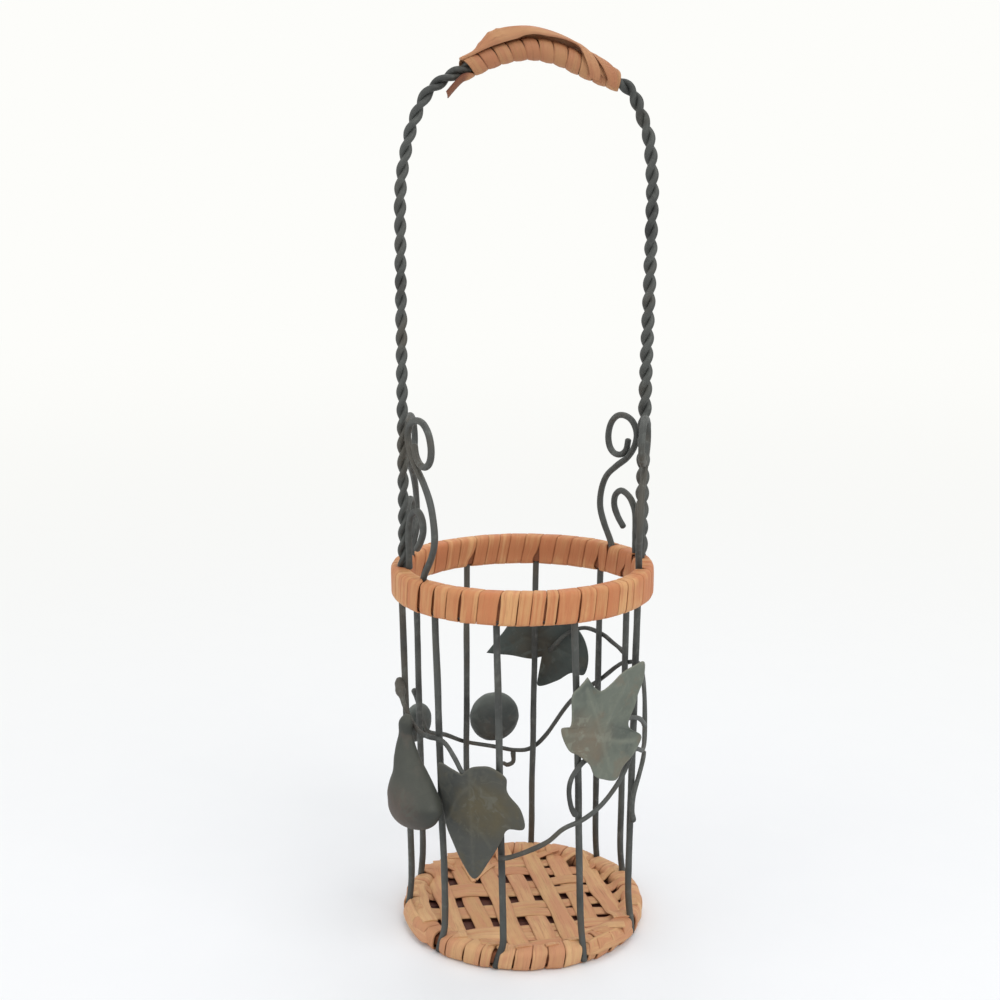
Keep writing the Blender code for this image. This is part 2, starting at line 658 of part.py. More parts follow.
def rim_winding(name, half, material):
    """Half of the rim's cane band, wound over both hoops and the ends of the uprights."""
    loops = strip_stations(rim_marks(), RIM_STRIP_WIDTH, RIM_STRIP_GAP)
    inner = CAGE_RADIUS - WIRE_DIAMETER / 2 - SEAT - RIM_STRIP_THICKNESS / 2
    outer = CAGE_RADIUS + RIM_PROUD - RIM_STRIP_THICKNESS / 2
    section = band_section(inner, outer, RIM_TOP - RIM_HEIGHT + RIM_STRIP_THICKNESS / 2,
                           RIM_TOP - RIM_STRIP_THICKNESS / 2, RIM_CORNER)
    shares = (0, 0, 0, 0, 1, 0, 0, 0)
    return half_winding(name, half, loops, section, RIM_STRIP_THICKNESS, shares, material)


def upright(name, angle, material):
    """A straight cage wire inside the rim, its foot bent aside where the base cane parts."""
    top = polar(angle, CAGE_RADIUS, RIM_TOP - UPRIGHT_DROP)
    bend = polar(angle, CAGE_RADIUS, FOOT_BEND_HEIGHT)
    low = BASE_STRIP_THICKNESS - FLAT_CUT + SEAT
    foot = polar(foot_angle(angle), CAGE_RADIUS, low)
    if angle in FOOT_SWAYS:
        route = [foot, (foot + bend) / 2, bend, bend + (top - bend) * 0.06, top]
    else:
        route = [foot, top]
    return wire(name, route, WIRE_DIAMETER, WIRE_SIDES, material)


def inside(point, polygon):
    """Whether a point lies in a convex polygon whose corners run anticlockwise."""
    following = np.roll(polygon, -1, axis=0)
    sides = (following - polygon)
    return bool(np.all(sides[:, 0] * (point[1] - polygon[:, 1]) - sides[:, 1] * (point[0] - polygon[:, 0]) > 0))


def base_mat(material):
    """The woven bottom as a flat net: a disc with a gap wherever two ways of splints leave one."""
    radius = base_inner_radius() - SEAT
    aside, ahead = cos(radians(MAT_SLANT)), sin(radians(MAT_SLANT))
    rim = [(radius * cos(t), radius * sin(t)) for t in np.arange(MAT_SEGMENTS) * 2 * pi / MAT_SEGMENTS]
    holes = []
    reach = ceil(radius / min(MAT_PITCH, MAT_CROSS_PITCH)) + 1
    half_u, half_v = (MAT_PITCH - MAT_SPLINT_WIDTH) / 2, (MAT_CROSS_PITCH - MAT_CROSS_WIDTH) / 2
    for row in range(-reach, reach):
        for column in range(-2 * reach, 2 * reach):
            u = MAT_SHIFT + (column + 0.5) * MAT_PITCH
            v = MAT_SHIFT + row * MAT_CROSS_PITCH
            around = [(u + a * half_u, v + b * half_v) for a, b in ((-1, -1), (1, -1), (1, 1), (-1, 1))]
            corners = [(x * aside - y * ahead, x * ahead + y * aside) for x, y in around]
            if all(hypot(x, y) < radius - MAT_RIM for x, y in corners):
                holes.append(np.array(corners))
    points = rim + [tuple(corner) for hole in holes for corner in hole]
    edges = [(i, (i + 1) % MAT_SEGMENTS) for i in range(MAT_SEGMENTS)]
    for h in range(len(holes)):
        first = MAT_SEGMENTS + 4 * h
        edges += [(first + i, first + (i + 1) % 4) for i in range(4)]
    flat, _, triangles, *_ = delaunay_2d_cdt([tuple(p) for p in points], edges, [], 1, 1e-7)
    kept = []
    for triangle in triangles:
        centre = np.mean([flat[i] for i in triangle], axis=0)
        if not any(inside(centre, hole) for hole in holes):
            kept.append(tuple(triangle))
    work = bmesh.new()
    corners = [work.verts.new((p[0], p[1], MAT_HEIGHT)) for p in flat]
    for triangle in kept:
        work.faces.new([corners[i] for i in triangle])
    grown = bmesh.ops.extrude_face_region(work, geom=work.faces[:])
    raised = [item for item in grown["geom"] if isinstance(item, bmesh.types.BMVert)]
    bmesh.ops.translate(work, verts=raised, vec=(0, 0, MAT_THICKNESS))
    loose = [v for v in work.verts if not v.link_faces]
    bmesh.ops.delete(work, geom=loose, context="VERTS")
    mesh = bpy.data.meshes.new("base_mat")
    work.to_mesh(mesh)
    work.free()
    print(f"base_mat: {len(holes)} gaps")
    return link("base_mat", mesh, material, smooth=False)


def build():
    """Makes every piece of the basket."""
    for old in list(bpy.data.objects):
        bpy.data.objects.remove(old, do_unlink=True)

    iron = finish("painted_iron", (0.060, 0.068, 0.066), 0.55, 0.3)
    cane = finish("cane", (0.60, 0.34, 0.17), 0.62)
    base_cane = finish("base_cane", (0.64, 0.38, 0.20), 0.66)
    leaf_paint = finish("leaf_paint", (0.085, 0.105, 0.085), 0.60, 0.2)
    fruit_paint = finish("fruit_paint", (0.075, 0.080, 0.068), 0.58, 0.2)

    hoop("base_hoop", base_hoop_radius(), BASE_HEIGHT / 2, BASE_HOOP_DIAMETER, iron)
    base_mat(base_cane)
    base_winding("base_winding_left", 0, base_cane)
    base_winding("base_winding_right", 1, base_cane)
    for number, angle in enumerate(UPRIGHT_ANGLES, 1):
        upright(f"upright_{number:02d}", angle, iron)

    hoop_inset = RIM_STRIP_THICKNESS + SEAT + RIM_HOOP_DIAMETER / 2
    hoop("rim_hoop_upper", rim_hoop_radius(), RIM_TOP - hoop_inset, RIM_HOOP_DIAMETER, iron)
    hoop("rim_hoop_lower", rim_hoop_radius(), RIM_TOP - RIM_HEIGHT + hoop_inset, RIM_HOOP_DIAMETER, iron)
    rim_winding("rim_winding_left", 0, cane)
    rim_winding("rim_winding_right", 1, cane)

    handle_strand("handle_strand_a", 0.0, iron)
    handle_strand("handle_strand_b", pi, iron)
    grip_winding(cane)
    grip_cover(cane)

    for place_name, side, turn in WINGS:
        scroll(f"scroll_{place_name}", side, turn, SCROLL_SHARES, SCROLL_HEIGHT, SCROLL_STEPS, 0.0, iron)
        scroll(f"hook_{place_name}", side, turn, HOOK_SHARES, HOOK_HEIGHT, HOOK_STEPS, RIM_TOP + SEAT, iron)

    vine("vine_main", MAIN_VINE_SHARES, iron)
    vine("vine_back_branch", BACK_BRANCH_SHARES, iron)
    vine("vine_side_tail", SIDE_TAIL_SHARES, iron)
    vine("vine_front_twig", FRONT_TWIG_SHARES, iron)
    vine("tendril_loop", LOOP_TENDRIL_SHARES, iron)
    vine("tendril_curl", CURL_TENDRIL_SHARES, iron)
    vine("leaf_right_stalk", LEAF_STALK_SHARES, iron)

    leaf("leaf_front", FRONT_LEAF_SHARES, FRONT_LEAF_WIDTH, FRONT_LEAF_HEIGHT, FRONT_LEAF_BASE_SHARE,
         FRONT_LEAF_ANGLE, leaf_paint)
    leaf("leaf_right", RIGHT_LEAF_SHARES, RIGHT_LEAF_WIDTH, RIGHT_LEAF_HEIGHT, RIGHT_LEAF_BASE_SHARE,
         RIGHT_LEAF_ANGLE, leaf_paint)
    leaf("leaf_back", BACK_LEAF_SHARES, BACK_LEAF_WIDTH, BACK_LEAF_HEIGHT, BACK_LEAF_BASE_SHARE,
         BACK_LEAF_ANGLE, leaf_paint)
    on_vine = vine_radius() + VINE_DIAMETER / 2 + SEAT
    below_top = PEAR_TOP_SHARE * VINE_HEIGHT - PEAR_HEIGHT
    fruit("pear", PEAR_SHARES, PEAR_HEIGHT, PEAR_HALF_WIDTH, PEAR_HALF_DEPTH, below_top, PEAR_ANGLE,
          PEAR_LEAN, on_vine, fruit_paint)
    above_vine = APPLE_VINE_SHARE * VINE_HEIGHT + VINE_DIAMETER / 2 + SEAT
    fruit("apple", ROUND_SHARES, APPLE_HEIGHT, APPLE_HEIGHT / 2, APPLE_HALF_DEPTH, above_vine,
          APPLE_ANGLE, 0.0, CAGE_RADIUS, fruit_paint)
    over_vine = SMALL_APPLE_MIDDLE_SHARE * VINE_HEIGHT - SMALL_APPLE_HEIGHT / 2
    fruit("apple_small", ROUND_SHARES, SMALL_APPLE_HEIGHT, SMALL_APPLE_HEIGHT / 2, SMALL_APPLE_HALF_DEPTH,
          over_vine, SMALL_APPLE_ANGLE, 0.0, on_vine, fruit_paint)


build()
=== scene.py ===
"""Looks of a wine bottle basket: a painted wire cage bound with cane, and a fruit vine on it.

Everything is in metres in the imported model's frame: +Z up, the front is -Y, and places round the
cage are angles in degrees from the front, positive towards +X.
"""

from __future__ import annotations

import logging
from dataclasses import dataclass, field
from enum import Enum
from functools import cached_property
from itertools import product
from typing import Any, Sequence

import bpy
import numpy as np
from mathutils import Matrix, Vector


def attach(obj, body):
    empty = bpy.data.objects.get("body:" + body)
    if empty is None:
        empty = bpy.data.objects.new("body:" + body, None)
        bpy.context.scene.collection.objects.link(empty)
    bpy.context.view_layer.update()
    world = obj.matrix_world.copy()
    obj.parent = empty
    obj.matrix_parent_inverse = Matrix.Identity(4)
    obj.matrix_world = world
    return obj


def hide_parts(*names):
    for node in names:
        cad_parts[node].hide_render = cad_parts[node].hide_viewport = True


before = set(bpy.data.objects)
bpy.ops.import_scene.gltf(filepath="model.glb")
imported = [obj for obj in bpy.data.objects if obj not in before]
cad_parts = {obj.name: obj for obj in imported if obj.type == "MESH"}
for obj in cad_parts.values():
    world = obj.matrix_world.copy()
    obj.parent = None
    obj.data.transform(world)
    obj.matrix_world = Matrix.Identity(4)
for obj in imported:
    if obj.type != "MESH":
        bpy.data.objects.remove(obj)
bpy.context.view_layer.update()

Array = np.ndarray
Pair = tuple[float, float]
Pairs = Sequence[Pair]
Triple = tuple[float, float, float]
Colour = Triple

LOG = logging.getLogger("basket")
MM = 0.001
BODY = "root"
DOME_RINGS = (12, 38, 64)  # degrees from the pole of a bar's domed end
CORNERS = (-45, 45, 135, 225, 315)  # degrees round a winding's section: outer wall, top, inner wall, bottom
WIRE_STEP = 0.9 * MM  # between the points of a bent wire


# ---------------------------------------------------------------- numbers


def unit(vectors: Array) -> Array:
    """The same directions with length one."""
    return vectors / np.linalg.norm(vectors, axis=-1, keepdims=True)


def around(angle: Any, radius: Any, height: Any) -> Array:
    """Points (r sin a, -r cos a, z) from angles in degrees, radii and heights of one shape."""
    turn = np.radians(angle)
    return np.stack(np.broadcast_arrays(radius * np.sin(turn), -radius * np.cos(turn), height), axis=-1)


def ease(share: Array) -> Array:
    """The smooth step 3x^2 - 2x^3 of a share kept between 0 and 1."""
    share = np.clip(share, 0, 1)
    return share * share * (3 - 2 * share)


def bell(distance: Array, width: float) -> Array:
    """A bump of height 1: exp(-(d / w)^2)."""
    return np.exp(-(distance / width) ** 2)


def power(value: Array, roundness: float) -> Array:
    """The superellipse term sgn(x) |x|^(2/n)."""
    return np.sign(value) * np.abs(value) ** (2 / roundness)


def run_of(path: Array) -> Array:
    """The length along a path at each of its points."""
    return np.concatenate(([0.0], np.cumsum(np.linalg.norm(np.diff(path, axis=0), axis=1))))


def resample(path: Array, marks: Array, run: Array | None = None) -> Array:
    """The points of a path at marks, which count its length or the run given for its points."""
    run = run_of(path) if run is None else run
    return np.stack([np.interp(marks, run, path[:, k]) for k in range(path.shape[1])], axis=-1)


def read(table: Any, places: Array) -> Array:
    """The second numbers of pairs, read off between them at places among their first numbers."""
    table = np.array(table)
    return np.interp(places, table[:, 0], table[:, 1])


def smooth_path(points: Any, step: float) -> Array:
    """Points a step apart on the Catmull-Rom curve through some chosen points.

    Between points b and c, with a before and d after, the curve is
    (2b + (c - a)t + (2a - 5b + 4c - d)t^2 + (3b - a - 3c + d)t^3) / 2.

    Args:
        points: the chosen points, in two or three dimensions.
        step: the spacing wanted, in the points' unit.

    Returns:
        The evenly spaced points.
    """
    chosen = np.asarray(points, float)
    ends = np.vstack((2 * chosen[0] - chosen[1], chosen, 2 * chosen[-1] - chosen[-2]))
    t = np.linspace(0, 1, 16, endpoint=False)[None, :, None]
    a, b, c, d = (ends[k:len(ends) - 3 + k, None] for k in range(4))
    fine = (2 * b + (c - a) * t + (2 * a - 5 * b + 4 * c - d) * t**2 + (3 * b - a - 3 * c + d) * t**3) / 2
    fine = np.vstack((fine.reshape(-1, chosen.shape[1]), chosen[-1]))
    total = run_of(fine)[-1]
    count = max(3, int(np.ceil(total / step)))
    return resample(fine, np.linspace(0, total, count + 1))


def wander(count: int, size: float, seed: int, knots: int = 7) -> Array:
    """A slow seeded drift: random values at a few knots, joined smoothly along a run of points."""
    values = np.random.default_rng(seed).uniform(-size, size, knots)
    place = np.linspace(0, knots - 1 - 1e-6, count)
    low = place.astype(int)
    return values[low] + (values[low + 1] - values[low]) * ease(place - low)


def facing(angle: float) -> tuple[Array, Array]:
    """The unit directions to the right and outward for someone who looks at the cage at an angle."""
    turn = np.radians(angle)
    return np.array((np.cos(turn), np.sin(turn), 0.0)), np.array((np.sin(turn), -np.cos(turn), 0.0))


def upright_to(path: Array, normal: Any) -> Array:
    """Unit directions across both a path and a normal: normal x tangent."""
    along = unit(np.gradient(path, axis=0))
    return unit(np.cross(np.broadcast_to(normal, along.shape), along))


def cane_section(count: int, flatness: float = 4.5, fullness: float = 3.2) -> tuple[Array, Array]:
    """The outline of a split-cane strip: across cos q and through sin q, as superellipse terms.

    Args:
        count: how many points go round it.
        flatness: the power across, higher for squarer edges.
        fullness: the power through.

    Returns:
        The share of the half width and of the half thickness at each point.
    """
    q = (np.arange(count) + 0.5) * 2 * np.pi / count
    return power(np.cos(q), flatness), power(np.sin(q), fullness)


def linked(name: str, data: Any) -> bpy.types.Object:
    """A new object in the scene."""
    made = bpy.data.objects.new(name, data)
    bpy.context.scene.collection.objects.link(made)
    return made


# ---------------------------------------------------------------- meshes


@dataclass
class Form:
    """One piece's mesh, gathered grid by grid, with a place along and across for each corner."""

    points: list[Array] = field(default_factory=list)
    faces: list[list[int]] = field(default_factory=list)
    places: list[Array] = field(default_factory=list)
    marks: dict[str, list[Array]] = field(default_factory=dict)
    count: int = 0

    def add(self, grid: Array, along: Array, across: Array, rows_close: bool = False, **marks: Any) -> Form:
        """Adds a tube-like grid of rows by columns, whose columns close up on themselves.

        Args:
            grid: rows x columns x 3 points.
            along: the texture place of each row, and of the first row again where rows close.
            across: the texture place of each column and of the first one again.
            rows_close: whether the last row joins the first; otherwise both ends are covered.
            marks: named values for each row, or for each row and column.

        Returns:
            The form itself, as every adding method does.
        """
        rows, columns = grid.shape[:2]
        i = np.arange(rows if rows_close else rows - 1)[:, None]
        j = np.arange(columns)[None, :]
        steps = ((0, 0), (0, 1), (1, 1), (1, 0))
        quads = np.stack([((i + a) % rows) * columns + (j + b) % columns for a, b in steps], axis=-1)
        quads = quads.reshape(-1, 4)
        spots = np.stack([np.stack(np.broadcast_arrays(along[i + a], across[j + b]), axis=-1)
                          for a, b in steps], axis=2).reshape(-1, 4, 2)
        ends = []
        if not rows_close:
            ring = np.arange(columns)
            ends = [(ring[::-1], along[0]), (ring + (rows - 1) * columns, along[-1])]
        flat = grid.reshape(-1, 3)
        local = flat - flat.mean(axis=0)
        a, b, c, d = (local[quads[:, k]] for k in range(4))
        volume = (a * np.cross(b, c)).sum() + (a * np.cross(c, d)).sum()
        for ring, _ in ends:
            fan = local[ring]
            volume += (fan[0] * np.cross(fan[1:-1], fan[2:])).sum()
        turn = -1 if volume < 0 else 1
        self.faces += (quads[:, ::turn] + self.count).tolist()
        self.places.append(spots[:, ::turn].reshape(-1, 2))
        for ring, place in ends:
            self.faces.append((ring[::turn] + self.count).tolist())
            self.places.append(np.tile((place, across.mean()), (columns, 1)))
        self.points.append(flat)
        for name, value in marks.items():
            value = np.asarray(value, float)
            whole = np.broadcast_to(value if value.ndim == 2 else value.reshape(-1, 1), (rows, columns))
            self.marks.setdefault(name, []).append(whole.reshape(-1))
        self.count += len(flat)
        return self

    def bar(self, path: Array, radius: Any, outward: Any, sides: int = 16, dome: float = 0.5) -> Form:
        """Adds a round bar: c(u) + r(u) (cos v side(u) + sin v up(u)), with domed ends.

        An end's rings have radius r sin q and stand r cos q times the dome's share past the path's
        end, for a few angles q from its pole.

        Args:
            path: its middle line.
            radius: one radius or one for each point.
            outward: a direction across the bar, or one for each point.
            sides: how many points go round it.
            dome: how high its ends are for their radius.

        Returns:
            The form.
        """
        along = unit(np.gradient(path, axis=0))
        side = upright_to(path, outward)
        up = np.cross(along, side)
        radius = np.broadcast_to(np.asarray(radius, float), len(path))
        q = np.radians(DOME_RINGS)
        start = path[0] - along[0] * (radius[0] * dome * np.cos(q))[:, None]
        end = path[-1] + along[-1] * (radius[-1] * dome * np.cos(q[::-1]))[:, None]
        centres = np.vstack((start, path, end))
        sizes = np.concatenate((radius[0] * np.sin(q), radius, radius[-1] * np.sin(q[::-1])))
        side, up = (np.pad(turned, ((len(q), len(q)), (0, 0)), "edge") for turned in (side, up))
        turn = np.arange(sides) * 2 * np.pi / sides
        ring = np.cos(turn)[None, :, None] * side[:, None] + np.sin(turn)[None, :, None] * up[:, None]
        grid = centres[:, None] + sizes[:, None, None] * ring
        return self.add(grid, run_of(centres), np.linspace(0, 1, sides + 1))

    def strip(self, path: Array, outward: Any, width: Any, thickness: float, crown: float,
              tone: Any, inner: Any = 0.0, sides: int = 14) -> Form:
        """Adds a cane strip: c(u) + w(u)/2 a(v) side(u) + (t/2 b(v) + crown (1 - a(v)^2)) up(u).

        Args:
            path: its middle line.
            outward: the direction that its bark side faces, or one for each point.
            width: one width or one for each point.
            thickness: its thickness.
            crown: how far its middle stands over its edges.
            tone: the colour mark, one or one for each point.
            inner: the darkening mark, one or one for each point, which is painted shade where cane faces inwards
                or lies under the weave.
            sides: how many points go round it.

        Returns:
            The form.
        """
        side = upright_to(path, outward)
        up = np.cross(unit(np.gradient(path, axis=0)), side)
        a, b = cane_section(sides)
        width = np.broadcast_to(np.asarray(width, float), len(path))[:, None]
        shift = (width / 2 * a)[..., None] * side[:, None]
        lift = (thickness / 2 * b + crown * (1 - a**2))[None, :, None] * up[:, None]
        return self.add(path[:, None] + shift + lift, run_of(path), np.append(a, a[0]),
                        tone=np.broadcast_to(tone, len(path)), inner=np.broadcast_to(inner, len(path)))

    def mesh(self, name: str, material: bpy.types.Material) -> bpy.types.Mesh:
        """The bare mesh with a material."""
        mesh = bpy.data.meshes.new(name)
        mesh.from_pydata(np.concatenate(self.points).tolist(), [], self.faces)
        mesh.materials.append(material)
        return mesh

    def make(self, name: str, finish: Finish, slot: Slot, *nodes: str, sharp: float = 50.0) -> None:
        """Makes the piece, at the origin, and parents it to the basket's body empty.

        Args:
            name: the piece's name.
            finish: its finish.
            slot: the record's material slot, which is not used.
            nodes: the CAD nodes that it replaces.
            sharp: the angle in degrees past which an edge shows as an edge.
        """
        mesh = self.mesh(name, finish.material)
        layer = mesh.uv_layers.new(name="UVMap")
        layer.data.foreach_set("uv", np.concatenate(self.places).astype(np.float32).ravel())
        # each point's upward facing, kept as the upward mark for the painted highlight on leaves and fruits
        normals = np.empty(3 * len(mesh.vertices), np.float32)
        mesh.vertex_normals.foreach_get("vector", normals)
        for mark, values in (*self.marks.items(), ("upward", [normals[2::3]])):
            store = mesh.attributes.new(mark, "FLOAT", "POINT")
            store.data.foreach_set("value", np.concatenate(values).astype(np.float32))
        mesh.shade_smooth()
        mesh.set_sharp_from_angle(angle=np.radians(sharp))
        piece = linked(name, mesh)
        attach(piece, BODY)
        if nodes:
            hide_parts(*nodes)
        LOG.info("%s: %d faces", name, len(self.faces))


# ---------------------------------------------------------------- finishes


def linear(colour: Colour) -> tuple[float, ...]:
    """A colour as it looks on screen, from 0 to 255, in the renderer's linear numbers, with alpha."""
    shares = np.array(colour) / 255
    curved = np.where(shares <= 0.04045, shares / 12.92, ((shares + 0.055) / 1.055) ** 2.4)
    return (*curved.tolist(), 1.0)


@dataclass(frozen=True)
class Shade:
    """A socket of a material's nodes, on which Python's sums add Math nodes."""

    paint: Paint
    socket: bpy.types.NodeSocket

    def sum(self, operation: str, first: Any, second: Any = 0.0) -> Shade:
        """A Math node on two values or sockets."""
        return self.paint.node("ShaderNodeMath", {0: first, 1: second}, operation=operation)

    def __add__(self, other: Any) -> Shade:
        """Self + other."""
        return self.sum("ADD", self, other)

    __radd__ = __add__

    def __sub__(self, other: Any) -> Shade:
        """Self - other."""
        return self.sum("SUBTRACT", self, other)

    def __rsub__(self, other: Any) -> Shade:
        """Other - self."""
        return self.sum("SUBTRACT", other, self)

    def __mul__(self, other: Any) -> Shade:
        """Self times other."""
        return self.sum("MULTIPLY", self, other)

    __rmul__ = __mul__

    def size(self) -> Shade:
        """The value without its sign."""
        return self.sum("ABSOLUTE", self)

    def between(self, low: float, high: float) -> Shade:
        """A smooth step from 0 at low to 1 at high, or down where high is below low."""
        down = high < low
        sockets = {"Value": self, "From Min": min(low, high), "From Max": max(low, high),
                   "To Min": 1.0 if down else 0.0, "To Max": 0.0 if down else 1.0}
        return self.paint.node("ShaderNodeMapRange", sockets, interpolation_type="SMOOTHSTEP")


class Paint:
    """One material, and the one method that makes its nodes."""

    def __init__(self, name: str) -> None:
        """Starts an empty material with a name."""
        self.material = bpy.data.materials.new(name)
        self.material.use_nodes = True
        self.tree = self.material.node_tree
        self.tree.nodes.clear()

    def node(self, kind: str, sockets: dict[int | str, Any] | None = None, output: int | str = 0,
             **settings: Any) -> Shade | None:
        """Adds a node of any type.

        Args:
            kind: the node's type.
            sockets: a value or a Shade for each input, by name or number.
            output: which output to give back.
            settings: the node's own settings, set before its inputs.

        Returns:
            The output, or None for a node that has none.
        """
        node = self.tree.nodes.new(kind)
        for key, value in settings.items():
            setattr(node, key, value)
        for key, value in (sockets or {}).items():
            if isinstance(value, Shade):
                self.tree.links.new(value.socket, node.inputs[key])
            else:
                node.inputs[key].default_value = value
        return Shade(self, node.outputs[output]) if len(node.outputs) else None

    def place(self) -> Shade:
        """The place on the object, in metres."""
        return self.node("ShaderNodeTexCoord", output="Object")

    def mark(self, name: str) -> Shade:
        """A value stored on the mesh."""
        return self.node("ShaderNodeAttribute", output="Fac", attribute_name=name)

    def parts(self, vector: Shade) -> list[Shade]:
        """A vector's three numbers."""
        split = self.node("ShaderNodeSeparateXYZ", {0: vector})
        return [Shade(self, output) for output in split.socket.node.outputs]

    def distance(self, vector: Shade, point: Triple) -> Shade:
        """How far a place is from a point."""
        return self.node("ShaderNodeVectorMath", {0: vector, 1: point}, "Value", operation="DISTANCE")

    def noise(self, vector: Shade, scale: float, detail: float, roughness: float,
              distortion: float = 0.0) -> Shade:
        """Cloudy noise from 0 to 1 on a vector."""
        return self.node("ShaderNodeTexNoise", {"Vector": vector, "Scale": scale, "Detail": detail,
                                                "Roughness": roughness, "Distortion": distortion})

    def mix(self, first: Any, second: Any, factor: Any) -> Shade:
        """A colour between two colours."""
        colours = [linear(c) if isinstance(c, tuple) else c for c in (first, second)]
        return self.node("ShaderNodeMix", {0: factor, 6: colours[0], 7: colours[1]}, 2, data_type="RGBA")

    def finish(self, height: Shade, depth: float, **sockets: Any) -> bpy.types.Material:
        """Ends the material in a Principled surface.

        Args:
            height: the bumps, from 0 to 1.
            depth: the depth in metres that a height of 1 stands for.
            sockets: the surface's inputs, with _ for a space.

        Returns:
            The material.
        """
        named = {key.replace("_", " "): value for key, value in sockets.items()}
        named["Normal"] = self.node("ShaderNodeBump", {"Height": height, "Distance": depth})
        surface = self.node("ShaderNodeBsdfPrincipled", named)
        self.node("ShaderNodeOutputMaterial", {"Surface": surface})
        return self.material


@dataclass(frozen=True)
class Finish:
    """A material by name, mixed when the first piece asks for it."""

    name: str

    @cached_property
    def material(self) -> bpy.types.Material:
        """The finish as a material."""
        return self.mixed(Paint(self.name))

    def mixed(self, paint: Paint) -> bpy.types.Material:
        """Mixes the finish with an empty material's nodes."""
        raise NotImplementedError


@dataclass(frozen=True)
class IronFinish(Finish):
    """Painted iron: dull grey-green paint over hammered wire, rubbed lighter and browned in places."""

    body: Colour = (78, 80, 77)
    dark: Colour = (52, 53, 52)
    light: Colour = (104, 107, 102)
    brown: Colour = (86, 76, 62)
    browning: float = 0.45
    hammer: float = 0.22 * MM

    def mixed(self, paint: Paint) -> bpy.types.Material:
        """Mixes the paint: clouds, then brown patches, then worn grain."""
        place = paint.place()
        cloud = paint.noise(place, 46, 4, 0.6)
        grain = paint.noise(place, 420, 4, 0.62)
        dents = paint.noise(place, 190, 2, 0.5)
        patch = paint.noise(place, 30, 3, 0.5, 0.4).between(0.50, 0.66) * self.browning
        colour = paint.mix(self.dark, self.body, cloud.between(0.26, 0.56))
        colour = paint.mix(colour, self.brown, patch)
        rubbed = (grain * 0.6 + dents * 0.4).between(0.50, 0.68) * 0.55
        colour = paint.mix(colour, self.light, rubbed)
        return paint.finish(dents * 0.75 + grain * 0.25, self.hammer, Base_Color=colour,
                            Roughness=0.60 - 0.14 * cloud + 0.10 * grain, Metallic=0.18,
                            Specular_IOR_Level=0.42)


@dataclass(frozen=True)
class LeafFinish(Finish):
    """Painted sheet iron: a soft green-grey coat, lighter on ribs and rims, browned round one place, with a
    painted highlight on faces that look up.
    """

    body: Colour
    dark: Colour
    light: Colour
    brown: Colour
    patch: Triple
    patch_size: float = 16 * MM
    browning: float = 0.75
    dents: float = 0.18 * MM

    def mixed(self, paint: Paint) -> bpy.types.Material:
        """Mixes the paint: clouds, then brown patches, then worn grain, then a painted highlight on upward faces.
        """
        place = paint.place()
        relief = paint.mark("relief")
        cloud = paint.noise(place, 60, 4, 0.6)
        grain = paint.noise(place, 520, 4, 0.65)
        streak = paint.noise(place, 150, 3, 0.6, 0.8)
        colour = paint.mix(self.dark, self.body, (cloud + relief * 0.25).between(0.25, 0.60))
        near = paint.distance(place, self.patch) + (cloud - 0.5) * self.patch_size
        near = near.between(self.patch_size, self.patch_size * 0.25)
        colour = paint.mix(colour, self.brown, near * self.browning * (0.25 + 1.2 * streak))
        spots = paint.noise(place, 110, 3, 0.6).between(0.54, 0.68) * 0.42
        colour = paint.mix(colour, self.brown, spots)
        flecks = paint.noise(place, 170, 3, 0.65, 1.2).between(0.52, 0.64) * (0.22 + 0.5 * near)
        colour = paint.mix(colour, self.light, flecks)
        colour = paint.mix(colour, self.light, (relief * 0.30 + grain * 0.45).between(0.28, 0.80) * 0.45)
        # painted highlight: faces that look up are coloured lighter, as if lit from above
        colour = paint.mix(colour, self.light, paint.mark("upward").between(-0.1, 0.9) * 0.5)
        return paint.finish(grain * 0.45 + streak * 0.55, self.dents, Base_Color=colour,
                            Roughness=0.62 - 0.12 * cloud + 0.08 * grain, Metallic=0.12,
                            Specular_IOR_Level=0.40)


